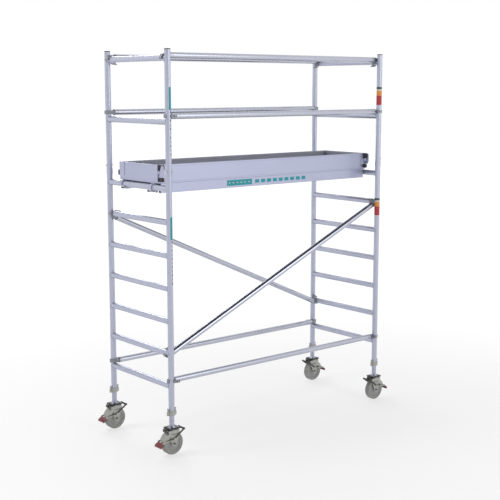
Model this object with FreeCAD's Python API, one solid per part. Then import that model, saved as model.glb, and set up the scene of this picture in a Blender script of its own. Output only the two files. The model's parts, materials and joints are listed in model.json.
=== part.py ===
"""Mobile access tower: two ladder frames on castors, a platform with toe boards and guardrails.

Units are millimetres.  +X runs along the bay from the left frame to the right frame,
+Y runs from the front to the back and +Z is up.  The origin is on the floor, in the
middle of the four castors.
"""
import FreeCAD
import Part
import math
import os

V = FreeCAD.Vector
X_AXIS = V(1, 0, 0)
Y_AXIS = V(0, 1, 0)
Z_AXIS = V(0, 0, 1)

# ---- Bay and end frames ----
bay_length = 2500.0          # between the post axes of the left and right frames
frame_width = 900.0          # between the two post axes of one frame
rung_pitch = 280.0
rung_count = 7               # the highest one carries the platform
foot_to_first_rung = 212.0   # from the foot of a post to the axis of the lowest rung
post_over_platform_rung = 118.0
mid_rung_rise = 552.0        # guard frame rungs, above the platform rung
top_rung_rise = 1067.0
post_over_top_rung = 66.0
post_diameter = 50.8
rung_diameter = 50.8
frame_wall = 2.0
joint_collar_height = 48.0   # thickened mouth of a ladder post
joint_collar_wall = 2.6
frame_sides = {"left": -1, "right": 1}
row_sides = {"front": -1, "back": 1}

# ---- Post joints and caps ----
spigot_reach = 105.0         # into each of the two posts it joins
spigot_wall = 3.0
spigot_clearance = 0.2
lock_pin_diameter = 8.0
lock_pin_rise = 33.0         # above the foot of the guard post
lock_pin_clearance = 0.3
clip_wire_diameter = 4.0
clip_tilt = 32.0             # degrees that the wire bow hangs below the pin
clip_post_gap = 2.0          # between the wire bow and the post
cap_height = 8.0
cap_plug_length = 22.0
cap_clearance = 0.3

# ---- Rails and diagonals ----
brace_diameter = 50.8
brace_wall = 1.8
claw_clearance = 0.3         # between a jaw and the tube that it grips
claw_wall = 10.8
claw_width = 32.0            # along the gripped tube
claw_lip = 10.0              # jaw length past the middle of the gripped tube
brace_offset = 22.0          # brace axis from jaw axis, towards the closed side
brace_end_gap = 9.5          # between the outside of a jaw and the end of its brace
claw_neck = 6.0              # round flange between the casting and the brace
claw_plug_length = 40.0
claw_plug_clearance = 0.15
claw_ear_width = 14.0        # ear that carries the trigger pivot
pivot_past_jaw = 4.5         # trigger pivot beyond the outside of a jaw, along the brace
pivot_past_tube = 10.3       # trigger pivot beyond the jaw's bore, towards the mouth
pivot_radius = 3.0
pivot_clearance = 0.05
ear_radius = 8.0
trigger_cheek = 3.5
trigger_side_gap = 0.5
rung_claw_gap = 8.6          # between a claw on a rung and the post beside it
base_rail_gap = 4.6          # between a base rail's claw and the rung below it
mid_rail_gap = {"front": 3.6, "back": 18.6}   # the same for the middle guardrails
diagonal_low_rung = 2
diagonal_high_rung = 6

# ---- Castors ----
wheel_diameter = 200.0
wheel_width = 50.0
wheel_edge_round = 7.0
hub_radius = 30.0
hub_width = 56.0
axle_radius = 10.0
axle_clearance = 0.05
axle_head_radius = 15.0
axle_head_height = 6.0
fork_gap = 3.0               # between the hub and a fork leg
fork_plate = 5.0
fork_boss_radius = 24.0
fork_taper = 18.0            # degrees from upright of the lower leg edges
crown_length = 112.0
skirt_drop = 25.0            # fork side plates at full length, below the crown
crown_gap = 12.0             # above the tyre
crown_thickness = 6.0
fender_gap = 4.5
fender_plate = 2.5
fender_cheek = 40.0          # depth of the side plates beside the fender
fender_start = 14.0          # degrees above the axle, on the pedal side
fender_end = 78.0
race_radius = 34.0
race_height = 10.0
swivel_gap = 0.5
kingpin_radius = 8.0
kingpin_clearance = 0.05
kingpin_nut_radius = 13.0
kingpin_nut_height = 5.5
top_plate_length = 110.0
top_plate_width = 92.0
top_plate_thickness = 5.5
stop_bracket_width = 36.0
stop_bracket_drop = 19.0
stop_bracket_clearance = 3.0 # past the corner of the turning crown
stop_bracket_depth = 12.0
mount_bolt_radius = 5.0
mount_bolt_head_radius = 8.5
mount_bolt_head_height = 6.5
mount_bolt_inset = 15.0      # from the edges of the plates

# ---- Brake rocker, drawn in the plane of the wheel from its axle, pedal side positive ----
rocker_pivot_height = 45.0
rocker_pivot_radius = 6.0
rocker_pivot_clearance = 0.05
rocker_plate = 4.0
rocker_gap = 1.5             # between a fork leg and a rocker arm
rocker_arm_half = 8.0
rocker_boss_radius = 12.0
pedal_gap = 7.0              # between the fender and the pedal
pedal_length = 38.0
pedal_inner_height = 25.0
pedal_outer_height = -10.0
pedal_thickness = 8.0
release_bar = (-100.0, 115.0)
release_bar_radius = 7.0

# ---- Height jacks ----
flange_thickness = 6.0
stem_radius = 22.0
stem_wall = 4.5
stem_shown = 104.0           # between the flange and the nut as the tower stands
stem_in_post = 520.0
stem_flare_radius = 31.0
stem_flare_height = 13.0
nut_height = 41.0
nut_shoulder = 5.6           # wider than the post all round
nut_clearance = 0.3
nut_wing_length = 16.0
nut_wing_thickness = 11.0
nut_wing_notch = 5.0         # shoulder of the wings below the foot of the post
nut_wing_rise = 22.0         # above the foot of the post
nut_post_clearance = 2.0
nut_rest_angle = -40.0       # degrees about Z that the wings point at as the tower stands

# ---- Platform ----
platform_width = 570.0
platform_end_gap = 10.0      # between the side beams and the platform rungs
beam_bottom_drop = 49.0      # below the platform rung axis
beam_height = 82.0
beam_width = 30.0
beam_wall = 2.0
deck_drop = 4.0              # deck surface below the beam tops
deck_thickness = 12.0
deck_gap = 2.0
ledge_width = 16.0
ledge_thickness = 4.0
crossbar_width = 40.0
crossbar_height = 28.0
end_bar_width = 38.0
crossbar_pitch_count = 4     # crossbars under the fixed deck, spaced evenly
hatch_from_end = 116.0       # from the end of the beams to the hatch
hatch_length = 600.0
hatch_gap = 4.0
toe_board_height = 156.0
toe_board_thickness = 23.0
toe_end_gap = 1.0            # between the hooks and the end boards above them
toe_end_outset = 3.0         # outer face of an end board inside the platform rung axis
corner_plate = 3.0
corner_reach = 70.0
corner_height = 118.0

# ---- Platform hooks and wind locks ----
hook_width = 30.0
hook_wall = 8.0
hook_clearance = 0.3
hook_from_side = 60.0        # hook middle from the outer face of a side beam
hook_lip = 15.0
hook_arm_drop = 46.0         # below the rung axis
catch_pin_radius = 5.0
catch_clearance = 0.05
catch_hub_radius = 9.0
catch_width = 20.0
catch_side_gap = 1.0
catch_nose = 30.0            # past the rung axis
catch_bar = 9.0
catch_rung_gap = 3.0

# ---- Hatch hinges and latch ----
hinge_pin_radius = 2.5
hinge_clearance = 0.05
knuckle_radius = 5.0
knuckle_length = 24.0
knuckle_gap = 0.5
hinge_rise = 6.0             # hinge axis above the beam tops
hinge_inset = 1.0            # hinge axis inside the beam's inner face
hinge_from_edge = 110.0      # hinge middle from each end of the hatch
latch_from_edge = 26.0
latch_knob_radius = 17.0
latch_knob_height = 7.0
latch_shaft_radius = 6.0
latch_clearance = 0.05
latch_tongue_width = 14.0
latch_tongue_thickness = 6.0
latch_tongue_reach = 24.0
latch_gap = 1.0

# ---- Heights that follow ----
axle_height = wheel_diameter / 2
crown_bottom = wheel_diameter + crown_gap
crown_top = crown_bottom + crown_thickness
race_top = crown_top + race_height
plate_bottom = race_top + swivel_gap
plate_top = plate_bottom + top_plate_thickness
flange_top = plate_top + flange_thickness
nut_bottom = flange_top + stem_shown
post_foot = nut_bottom + nut_height
first_rung = post_foot + foot_to_first_rung
platform_rung = first_rung + (rung_count - 1) * rung_pitch
ladder_top = platform_rung + post_over_platform_rung
mid_rung = platform_rung + mid_rung_rise
top_rung = platform_rung + top_rung_rise
guard_top = top_rung + post_over_top_rung
beam_bottom = platform_rung - beam_bottom_drop
beam_top = beam_bottom + beam_height
deck_top = beam_top - deck_drop
deck_bottom = deck_top - deck_thickness
ledge_bottom = deck_bottom - ledge_thickness

# ---- Widths that follow ----
post_radius = post_diameter / 2
rung_radius = rung_diameter / 2
brace_radius = brace_diameter / 2
post_bore = post_radius - frame_wall
jaw_radius = max(post_radius, rung_radius) + claw_clearance
jaw_outer = jaw_radius + claw_wall
brace_setback = jaw_outer + brace_end_gap
pivot_along = jaw_outer + pivot_past_jaw
pivot_out = jaw_radius + pivot_past_tube
brace_from_post = post_radius + claw_width / 2 + rung_claw_gap
claw_over_rung = rung_radius + claw_width / 2
hook_inner = rung_radius + hook_clearance
nut_radius = post_radius + nut_shoulder
nut_wing_reach = nut_radius + nut_wing_length
fender_outer = wheel_diameter / 2 + fender_gap + fender_plate
hook_outer = hook_inner + hook_wall
half_bay = bay_length / 2
half_frame = frame_width / 2
beam_end = half_bay - rung_radius - platform_end_gap
beam_outer = platform_width / 2
beam_inner = beam_outer - beam_width
pedal_inner = (fender_outer + pedal_gap, pedal_inner_height)
pedal_outer = (fender_outer + pedal_gap + pedal_length, pedal_outer_height)
leg_inner = hub_width / 2 + fork_gap
leg_outer = leg_inner + fork_plate
bracket_inner = math.hypot(crown_length / 2, leg_outer) + stop_bracket_clearance
arm_inner = leg_outer + rocker_gap
arm_outer = arm_inner + rocker_plate
hatch_start = -beam_end + hatch_from_end
hatch_end = hatch_start + hatch_length
corners = {
    f"{row}_{side}": (frame_sides[side] * half_bay, row_sides[row] * half_frame, frame_sides[side])
    for row in row_sides
    for side in frame_sides
}


def box(x_range, y_range, z_range):
    """A block between two values on each axis, given in either order."""
    low = V(min(x_range), min(y_range), min(z_range))
    size = V(max(x_range), max(y_range), max(z_range)) - low
    return Part.makeBox(size.x, size.y, size.z, low)


def rod(radius, start, end):
    """A round bar from one point to another."""
    along = end - start
    return Part.makeCylinder(radius, along.Length, start, along)


def pipe(radius, wall, start, end):
    """A round tube from one point to another."""
    return rod(radius, start, end).cut(rod(radius - wall, start, end))


def slab(points, y_range):
    """A flat plate with an outline in the X-Z plane, between two values of Y."""
    low = min(y_range)
    corners_3d = [V(x, low, z) for x, z in points]
    face = Part.Face(Part.makePolygon(corners_3d + corners_3d[:1]))
    return face.extrude(V(0, max(y_range) - low, 0))


def plan(points, z_range):
    """A flat plate with an outline in the X-Y plane, between two values of Z."""
    low = min(z_range)
    corners_3d = [V(x, y, low) for x, y in points]
    face = Part.Face(Part.makePolygon(corners_3d + corners_3d[:1]))
    return face.extrude(V(0, 0, max(z_range) - low))


def hexagon(radius, start, end):
    """A hexagonal bar from one point to another, with its corners on the radius."""
    along = end - start
    turn = FreeCAD.Rotation(Z_AXIS, along)
    ring = [V(radius * math.cos(k * math.pi / 3), radius * math.sin(k * math.pi / 3), 0) for k in range(6)]
    points = [start + turn.multVec(point) for point in ring]
    return Part.Face(Part.makePolygon(points + points[:1])).extrude(along)


def strip(points, half_width, y_range):
    """A flat bar of even width with round ends that follows points in the X-Z plane."""
    low = min(y_range)
    high = max(y_range)
    bar = None
    for (x0, z0), (x1, z1) in zip(points, points[1:]):
        length = math.hypot(x1 - x0, z1 - z0)
        side_x = -(z1 - z0) / length * half_width
        side_z = (x1 - x0) / length * half_width
        outline = [
            (x0 + side_x, z0 + side_z),
            (x1 + side_x, z1 + side_z),
            (x1 - side_x, z1 - side_z),
            (x0 - side_x, z0 - side_z),
        ]
        piece = slab(outline, y_range)
        bar = piece if bar is None else bar.fuse(piece)
    for x, z in points:
        bar = bar.fuse(rod(half_width, V(x, low, z), V(x, high, z)))
    return bar.removeSplitter()


def placed(shape, origin, x_dir, y_dir):
    """A copy of a shape with its own X and Y axes turned to two square directions."""
    z_dir = x_dir.cross(y_dir)
    matrix = FreeCAD.Matrix(
        x_dir.x, y_dir.x, z_dir.x, origin.x,
        x_dir.y, y_dir.y, z_dir.y, origin.y,
        x_dir.z, y_dir.z, z_dir.z, origin.z,
        0, 0, 0, 1,
    )
    copy = shape.copy()
    copy.Placement = FreeCAD.Placement(matrix)
    return copy


def facing(shape, x, y, side):
    """A copy of a castor or jack piece at a post, turned half round on the left frame."""
    return placed(shape, V(x, y, 0), X_AXIS * side, Y_AXIS * side)


def save(name, solids):
    """Write one node, as one solid or as a group of separate solids."""
    shape = solids[0] if len(solids) == 1 else Part.makeCompound(solids)
    shape.exportStep(f"parts/{name}.step")


# ---- End frames ----
def rung(x, z):
    """A rung with its ends shaped to the two posts that it is welded to."""
    tube = pipe(rung_radius, frame_wall, V(0, -half_frame, 0), V(0, half_frame, 0))
    for y in (-half_frame, half_frame):
        tube = tube.cut(rod(post_radius, V(0, y, -rung_diameter), V(0, y, rung_diameter)))
    middle = max(tube.Solids, key=lambda solid: solid.Volume)
    middle.translate(V(x, 0, z))
    return middle


def pin_hole(x, y):
    """The cross hole for a lock pin, through a post and its spigot."""
    z = ladder_top + lock_pin_rise
    half = V(post_diameter, 0, 0)
    return rod(lock_pin_diameter / 2 + lock_pin_clearance, V(x, y, z) - half, V(x, y, z) + half)


def ladder_post(x, y):
    """A ladder post with a thickened mouth at its upper end."""
    tube = rod(post_radius, V(x, y, post_foot), V(x, y, ladder_top))
    collar_foot = V(x, y, ladder_top - joint_collar_height)
    tube = tube.fuse(rod(post_radius + joint_collar_wall, collar_foot, V(x, y, ladder_top)))
    return tube.cut(rod(post_bore, V(x, y, post_foot), V(x, y, ladder_top)))


def guard_post(x, y):
    """An upper post, from the joint to the cap."""
    return pipe(post_radius, frame_wall, V(x, y, ladder_top), V(x, y, guard_top)).cut(pin_hole(x, y))


def make_end_frames():
    """The two ladder frames and the two guard frames that stand on them."""
    for name, side in frame_sides.items():
        x = side * half_bay
        posts = [ladder_post(x, y) for y in (-half_frame, half_frame)]
        rungs = [rung(x, first_rung + k * rung_pitch) for k in range(rung_count)]
        save(f"ladder_frame_{name}", posts + rungs)
        guard_posts = [guard_post(x, y) for y in (-half_frame, half_frame)]
        save(f"guard_frame_{name}", guard_posts + [rung(x, mid_rung), rung(x, top_rung)])


def spigot(x, y):
    """The inner sleeve that lines up a ladder post and a guard post."""
    low = V(x, y, ladder_top - spigot_reach)
    high = V(x, y, ladder_top + spigot_reach)
    return pipe(post_bore - spigot_clearance, spigot_wall, low, high).cut(pin_hole(x, y))


def lock_clip(x, y):
    """A lock pin with the sprung wire bow that holds it round the outside of the post."""
    wire = clip_wire_diameter / 2
    bow_radius = (post_radius + clip_post_gap + wire) / math.cos(math.radians(clip_tilt))
    half = bow_radius + wire
    pin = rod(lock_pin_diameter / 2, V(-half, 0, 0), V(half, 0, 0))
    bow = Part.makeTorus(bow_radius, wire, V(0, 0, 0), Z_AXIS, -180, 180, 180)
    bow.rotate(V(0, 0, 0), X_AXIS, -clip_tilt)
    clip = pin.fuse(bow)
    outward = -1 if y < 0 else 1
    return placed(clip, V(x, y, ladder_top + lock_pin_rise), X_AXIS * outward, Y_AXIS * outward)


def post_cap(x, y):
    """A plastic cap that plugs the open top of a post."""
    top = rod(post_radius, V(x, y, guard_top), V(x, y, guard_top + cap_height))
    plug = rod(post_bore - cap_clearance, V(x, y, guard_top - cap_plug_length), V(x, y, guard_top))
    return top.fuse(plug)


def make_post_joints():
    """Spigots, lock clips and caps, one of each for every post."""
    save("spigots", [spigot(x, y) for x, y, side in corners.values()])
    save("lock_clips", [lock_clip(x, y) for x, y, side in corners.values()])
    save("post_caps", [post_cap(x, y) for x, y, side in corners.values()])


# ---- Rails, diagonals and their claws ----
# A claw is drawn with its jaw axis on Z, its brace along +X and its mouth towards -Y.
def claw_casting():
    """The C-shaped casting at the end of a brace, with its plug in the brace tube."""
    half = claw_width / 2
    jaw = rod(jaw_outer, V(0, 0, -half), V(0, 0, half))
    jaw = jaw.cut(box((-jaw_outer, jaw_outer), (-jaw_outer, -claw_lip), (-half, half)))
    neck_start = brace_setback - claw_neck
    web_top = brace_offset + brace_radius * 0.85
    web = plan([(0, -claw_lip), (neck_start, -claw_lip), (neck_start, web_top), (jaw_radius, web_top),
                (0, jaw_outer)], (-half, half))
    neck = rod(brace_radius, V(neck_start, brace_offset, 0), V(brace_setback, brace_offset, 0))
    plug_radius = brace_radius - brace_wall - claw_plug_clearance
    plug_end = V(brace_setback + claw_plug_length, brace_offset, 0)
    plug = rod(plug_radius, V(brace_setback, brace_offset, 0), plug_end)
    ear_half = claw_ear_width / 2
    ear_span = (pivot_along - ear_radius, pivot_along + ear_radius)
    ear = box(ear_span, (-pivot_out, -claw_lip + 1), (-ear_half, ear_half))
    pivot = V(pivot_along, -pivot_out, 0)
    ear = ear.fuse(rod(ear_radius, pivot - Z_AXIS * ear_half, pivot + Z_AXIS * ear_half))
    root_block = box((pivot_along - ear_radius, neck_start), (-claw_lip, claw_lip), (-ear_half, ear_half))
    casting = jaw.multiFuse([web, neck, plug, ear, root_block])
    casting = casting.cut(rod(jaw_radius, V(0, 0, -half), V(0, 0, half)))
    casting = casting.cut(box((-jaw_radius, jaw_radius), (-jaw_outer, 0), (-half, half)))
    bore = pivot_radius + pivot_clearance
    casting = casting.cut(rod(bore, pivot - Z_AXIS * half, pivot + Z_AXIS * half))
    return casting.removeSplitter()


def claw_trigger():
    """The sprung catch that closes the mouth of a jaw, with its finger tab and pivot pin."""
    inner = claw_ear_width / 2 + trigger_side_gap
    outer = inner + trigger_cheek
    near = pivot_along + ear_radius - 1
    outline = [
        (near, -pivot_out + 4),
        (pivot_along + 4, -pivot_out + ear_radius),
        (pivot_along - 6, -pivot_out + ear_radius),
        (10, -jaw_radius - 2),
        (5, -jaw_radius - 5),
        (9, -jaw_radius - 11),
        (pivot_along - 6, -pivot_out - ear_radius),
        (pivot_along + 19, -pivot_out - ear_radius - 2),
        (pivot_along + 20, -pivot_out - ear_radius + 4),
    ]
    cheeks = [plan(outline, (inner, outer)), plan(outline, (-outer, -inner))]
    pawl_end = pivot_along - ear_radius - 4
    tip = outline[3:6]
    pawl = plan(tip + [(pawl_end, tip[2][1] - 2), (pawl_end, tip[0][1] - 1)], (-inner, inner))
    tab_low = -pivot_out - ear_radius - 1
    tab = box((pivot_along + ear_radius + 3, pivot_along + 19), (tab_low, tab_low + 5), (-inner, inner))
    pin = rod(pivot_radius, V(pivot_along, -pivot_out, -outer), V(pivot_along, -pivot_out, outer))
    return cheeks[0].multiFuse([cheeks[1], pawl, tab, pin]).removeSplitter()


def brace_list():
    """Every brace as its name, its two jaw centres and the direction of its closed side."""
    braces = []
    for row, sign in row_sides.items():
        on_rungs = sign * (half_frame - brace_from_post)
        inward = Y_AXIS * -sign
        on_posts = sign * half_frame
        rail_heights = {
            "guardrail_top": (on_rungs, top_rung, Z_AXIS),
            "guardrail_mid": (on_posts, mid_rung + claw_over_rung + mid_rail_gap[row], inward),
            "base_rail": (on_posts, first_rung + claw_over_rung + base_rail_gap, inward),
        }
        for kind, (y, z, closed) in rail_heights.items():
            braces.append((kind, row, V(-half_bay, y, z), V(half_bay, y, z), closed))
        low = first_rung + (diagonal_low_rung - 1) * rung_pitch
        high = first_rung + (diagonal_high_rung - 1) * rung_pitch
        left_z, right_z = (low, high) if row == "front" else (high, low)
        left = V(-half_bay, on_rungs, left_z)
        right = V(half_bay, on_rungs, right_z)
        closed = (right - left).cross(Y_AXIS).normalize() * -1
        braces.append(("diagonal", row, left, right, closed))
    return braces


def make_braces():
    """Rails and diagonals, their claws and one trigger for each claw."""
    casting = claw_casting()
    trigger = claw_trigger()
    tubes = {}
    claws = []
    for kind, row, left, right, closed in brace_list():
        along = (right - left).normalize()
        offset = closed * brace_offset
        start = left + along * brace_setback + offset
        end = right - along * brace_setback + offset
        tubes.setdefault(kind, []).append(pipe(brace_radius, brace_wall, start, end))
        for side, jaw, direction in (("left", left, along), ("right", right, along * -1)):
            claws.append(placed(casting, jaw, direction, closed))
            save(f"trigger_{kind}_{row}_{side}", [placed(trigger, jaw, direction, closed)])
    for kind, pair in tubes.items():
        save(f"{kind}s", pair)
    save("brace_claws", claws)


# ---- Castors, drawn about the post axis with the pedal towards +X ----
def caster_wheel():
    """A solid tyre and disc on a wider hub, bored for the axle."""
    half = wheel_width / 2
    tyre = rod(wheel_diameter / 2, V(0, -half, axle_height), V(0, half, axle_height))
    rims = [edge for edge in tyre.Edges if isinstance(edge.Curve, Part.Circle)]
    tyre = tyre.makeFillet(min(wheel_edge_round, wheel_width / 4), rims)
    hub_half = hub_width / 2
    wheel = tyre.fuse(rod(hub_radius, V(0, -hub_half, axle_height), V(0, hub_half, axle_height)))
    bore = rod(axle_radius + axle_clearance, V(0, -hub_half, axle_height), V(0, hub_half, axle_height))
    return wheel.cut(bore)


def caster_axle():
    """The axle bolt, through both legs, with a hexagonal head at each end."""
    shank = rod(axle_radius, V(0, -leg_outer, axle_height), V(0, leg_outer, axle_height))
    for sign in (-1, 1):
        start = V(0, sign * leg_outer, axle_height)
        shank = shank.fuse(hexagon(axle_head_radius, start, start + V(0, sign * axle_head_height, 0)))
    return shank


def fender_sector(y_range):
    """The wedge from the axle that the fender covers, larger than the wheel."""
    reach = wheel_diameter
    outline = [(0, axle_height)]
    for angle in (math.radians(fender_start), math.radians(fender_end)):
        outline.append((reach * math.cos(angle), axle_height + reach * math.sin(angle)))
    return slab(outline, y_range)


def fork_leg(sign):
    """One side plate of the fork, with the part that backs the fender."""
    y_range = (sign * leg_inner, sign * leg_outer)
    half = crown_length / 2
    low = V(0, min(y_range), axle_height)
    high = V(0, max(y_range), axle_height)
    skirt = crown_bottom - skirt_drop
    foot = fork_boss_radius * math.cos(math.radians(fork_taper))
    taper = slab([
        (-half, crown_top),
        (half, crown_top),
        (half, skirt),
        (foot, axle_height),
        (-foot, axle_height),
        (-half, skirt),
    ], y_range)
    boss = rod(fork_boss_radius, low, high)
    wide = Part.makeCylinder(fender_outer, fork_plate, low, Y_AXIS)
    band = wide.cut(Part.makeCylinder(fender_outer - fender_cheek, fork_plate, low, Y_AXIS))
    return taper.multiFuse([boss, band.common(fender_sector(y_range))])


def fender():
    """The curved cover over the tyre on the pedal side."""
    low = V(0, -leg_outer, axle_height)
    ring = Part.makeCylinder(fender_outer, 2 * leg_outer, low, Y_AXIS)
    ring = ring.cut(Part.makeCylinder(fender_outer - fender_plate, 2 * leg_outer, low, Y_AXIS))
    return ring.common(fender_sector((-leg_outer, leg_outer)))


def caster_fork():
    """The fork with its crown, fender, swivel race and the stub pins of the rocker."""
    half = crown_length / 2
    crown = box((-half, half), (-leg_outer, leg_outer), (crown_bottom, crown_top))
    race = rod(race_radius, V(0, 0, crown_top), V(0, 0, race_top))
    pieces = [race, fender(), fork_leg(-1), fork_leg(1)]
    for sign in (-1, 1):
        pivot = V(0, sign * leg_outer, axle_height + rocker_pivot_height)
        shank_end = pivot + V(0, sign * (rocker_gap + rocker_plate + 0.5), 0)
        pieces.append(rod(rocker_pivot_radius, pivot, shank_end))
        pieces.append(rod(rocker_pivot_radius + 3, shank_end, shank_end + V(0, sign * 3, 0)))
    fork = crown.multiFuse(pieces)
    fork = fork.cut(rod(kingpin_radius + kingpin_clearance, V(0, 0, crown_bottom), V(0, 0, race_top)))
    axle_hole = rod(axle_radius, V(0, -leg_outer, axle_height), V(0, leg_outer, axle_height))
    return fork.cut(axle_hole).removeSplitter()


def rocker_arms():
    """The two side arms of the brake rocker, from the pedal past the pivot to the release bar."""
    points = [
        (pedal_inner[0], axle_height + pedal_inner[1]),
        (0, axle_height + rocker_pivot_height),
        (release_bar[0], axle_height + release_bar[1]),
    ]
    arms = []
    for sign in (-1, 1):
        y_range = (sign * arm_inner, sign * arm_outer)
        low = V(0, min(y_range), axle_height + rocker_pivot_height)
        high = V(0, max(y_range), axle_height + rocker_pivot_height)
        arm = strip(points, rocker_arm_half, y_range).fuse(rod(rocker_boss_radius, low, high))
        arms.append(arm.cut(rod(rocker_pivot_radius + rocker_pivot_clearance, low, high)).removeSplitter())
    return arms


def brake_pedal():
    """The sloping foot plate between the arms."""
    run_x = pedal_outer[0] - pedal_inner[0]
    run_z = pedal_outer[1] - pedal_inner[1]
    length = math.hypot(run_x, run_z)
    up_x = -run_z / length * pedal_thickness / 2
    up_z = run_x / length * pedal_thickness / 2
    outline = [
        (pedal_inner[0] + up_x, axle_height + pedal_inner[1] + up_z),
        (pedal_outer[0] + up_x, axle_height + pedal_outer[1] + up_z),
        (pedal_outer[0] - up_x, axle_height + pedal_outer[1] - up_z),
        (pedal_inner[0] - up_x, axle_height + pedal_inner[1] - up_z),
    ]
    return slab(outline, (-arm_inner, arm_inner))


def release_bar_rod():
    """The sleeved crossbar that is trodden on to let the brake off."""
    x, z = release_bar
    return rod(release_bar_radius, V(x, -arm_inner, axle_height + z), V(x, arm_inner, axle_height + z))


def jack_stem():
    """The hollow jack stem, which stands on the flange and slides in the post."""
    return pipe(stem_radius, stem_wall, V(0, 0, flange_top), V(0, 0, post_foot + stem_in_post))


def jack_neck():
    """The flared collar that is welded round the foot of the jack stem."""
    corners_2d = [(stem_radius, 0), (stem_flare_radius, 0), (stem_radius, stem_flare_height)]
    points = [V(radius, 0, flange_top + rise) for radius, rise in corners_2d]
    return Part.Face(Part.makePolygon(points + points[:1])).revolve(V(0, 0, 0), Z_AXIS, 360)


def jack_flange():
    """The flange that the stem and its collar are welded to."""
    half_x = top_plate_length / 2
    half_y = top_plate_width / 2
    return box((-half_x, half_x), (-half_y, half_y), (plate_top, flange_top))


def caster_top_plate():
    """The castor's own plate with its kingpin, held under the flange by the bolts."""
    half_x = top_plate_length / 2
    half_y = top_plate_width / 2
    plate = box((-half_x, half_x), (-half_y, half_y), (plate_bottom, plate_top))
    nut_top = crown_bottom - swivel_gap
    nut_low = nut_top - kingpin_nut_height
    pin = rod(kingpin_radius, V(0, 0, nut_low), V(0, 0, plate_bottom))
    return plate.multiFuse([pin, rod(kingpin_nut_radius, V(0, 0, nut_low), V(0, 0, nut_top))])


def stop_bracket():
    """The small bracket that hangs from one end of the castor's plate."""
    start = -top_plate_length / 2
    half = stop_bracket_width / 2
    far = -bracket_inner - stop_bracket_depth
    tab = box((far, start), (-half, half), (plate_bottom, plate_top))
    z_range = (plate_bottom - stop_bracket_drop, plate_bottom)
    drop = box((far, -bracket_inner), (-half, half), z_range)
    return tab.fuse(drop).removeSplitter()


def bolt_places():
    """The four bolt positions on the castor plate."""
    x = top_plate_length / 2 - mount_bolt_inset
    y = top_plate_width / 2 - mount_bolt_inset
    return [(i * x, j * y) for i in (-1, 1) for j in (-1, 1)]


def mount_bolt(x, y):
    """A bolt with its head on the flange and its nut under the castor's plate."""
    nut_low = plate_bottom - mount_bolt_head_height
    shank = rod(mount_bolt_radius, V(x, y, plate_bottom), V(x, y, flange_top))
    nut = hexagon(mount_bolt_head_radius, V(x, y, nut_low), V(x, y, plate_bottom))
    head_top = V(x, y, flange_top + mount_bolt_head_height)
    head = hexagon(mount_bolt_head_radius, V(x, y, flange_top), head_top)
    return shank.multiFuse([nut, head])


def jack_nut():
    """The wing nut that the foot of a post stands on."""
    body = rod(nut_radius, V(0, 0, nut_bottom), V(0, 0, post_foot))
    inner = post_radius + nut_post_clearance
    wings = []
    for sign in (-1, 1):
        outline = [
            (sign * inner, nut_bottom),
            (sign * nut_wing_reach, nut_bottom),
            (sign * nut_wing_reach, post_foot - nut_wing_notch),
            (sign * (nut_wing_reach - 7), post_foot),
            (sign * (nut_wing_reach - 2), post_foot + nut_wing_rise),
            (sign * (nut_wing_reach - 10), post_foot + nut_wing_rise),
            (sign * inner, post_foot),
        ]
        wings.append(slab(outline, (-nut_wing_thickness / 2, nut_wing_thickness / 2)))
    bore = rod(stem_radius + nut_clearance, V(0, 0, nut_bottom), V(0, 0, post_foot))
    nut = body.multiFuse(wings).cut(bore)
    nut.rotate(V(0, 0, 0), Z_AXIS, nut_rest_angle)
    return nut


def make_casters():
    """A height jack and a braked castor for each post."""
    wheel = caster_wheel()
    fork = [caster_fork(), caster_axle()]
    rocker = rocker_arms() + [brake_pedal(), release_bar_rod()]
    flange = jack_flange()
    top_plate = caster_top_plate()
    for x, y in bolt_places():
        hole = rod(mount_bolt_radius, V(x, y, plate_bottom), V(x, y, flange_top))
        flange = flange.cut(hole)
        top_plate = top_plate.cut(hole)
    plates = [flange, top_plate, stop_bracket()]
    jack = [jack_stem(), jack_neck()] + plates + [mount_bolt(x, y) for x, y in bolt_places()]
    nut = jack_nut()
    for name, (x, y, side) in corners.items():
        save(f"jack_nut_{name}", [placed(nut, V(x, y, 0), X_AXIS, Y_AXIS)])
        save(f"jack_screw_{name}", [placed(piece, V(x, y, 0), X_AXIS, Y_AXIS) for piece in jack])
        save(f"caster_fork_{name}", [facing(piece, x, y, side) for piece in fork])
        save(f"caster_wheel_{name}", [facing(wheel, x, y, side)])
        save(f"brake_rocker_{name}", [facing(piece, x, y, side) for piece in rocker])


# ---- Platform ----
def side_beam(sign):
    """A hollow side beam and, on its inner face, the riveted ledge that the deck lies on."""
    outer = box((-beam_end, beam_end), (sign * beam_inner, sign * beam_outer), (beam_bottom, beam_top))
    inner_y = (sign * (beam_inner + beam_wall), sign * (beam_outer - beam_wall))
    bore = box((-beam_end, beam_end), inner_y, (beam_bottom + beam_wall, beam_top - beam_wall))
    ledge_y = (sign * (beam_inner - ledge_width), sign * beam_inner)
    ledge = box((-beam_end + end_bar_width, beam_end - end_bar_width), ledge_y, (ledge_bottom, deck_bottom))
    return [outer.cut(bore), ledge]


def crossbar(x_range, top):
    """A hollow crossbar between the two side beams."""
    low = top - crossbar_height
    outer = box(x_range, (-beam_inner, beam_inner), (low, top))
    inner_x = (min(x_range) + beam_wall, max(x_range) - beam_wall)
    return outer.cut(box(inner_x, (-beam_inner, beam_inner), (low + beam_wall, top - beam_wall)))


def crossbar_middles():
    """Where the crossbars lie: at both edges of the hatch and evenly under the fixed deck."""
    last = beam_end - end_bar_width
    step = (last - hatch_end) / (crossbar_pitch_count + 1)
    return [hatch_start, hatch_end] + [hatch_end + step * k for k in range(1, crossbar_pitch_count + 1)]


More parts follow.
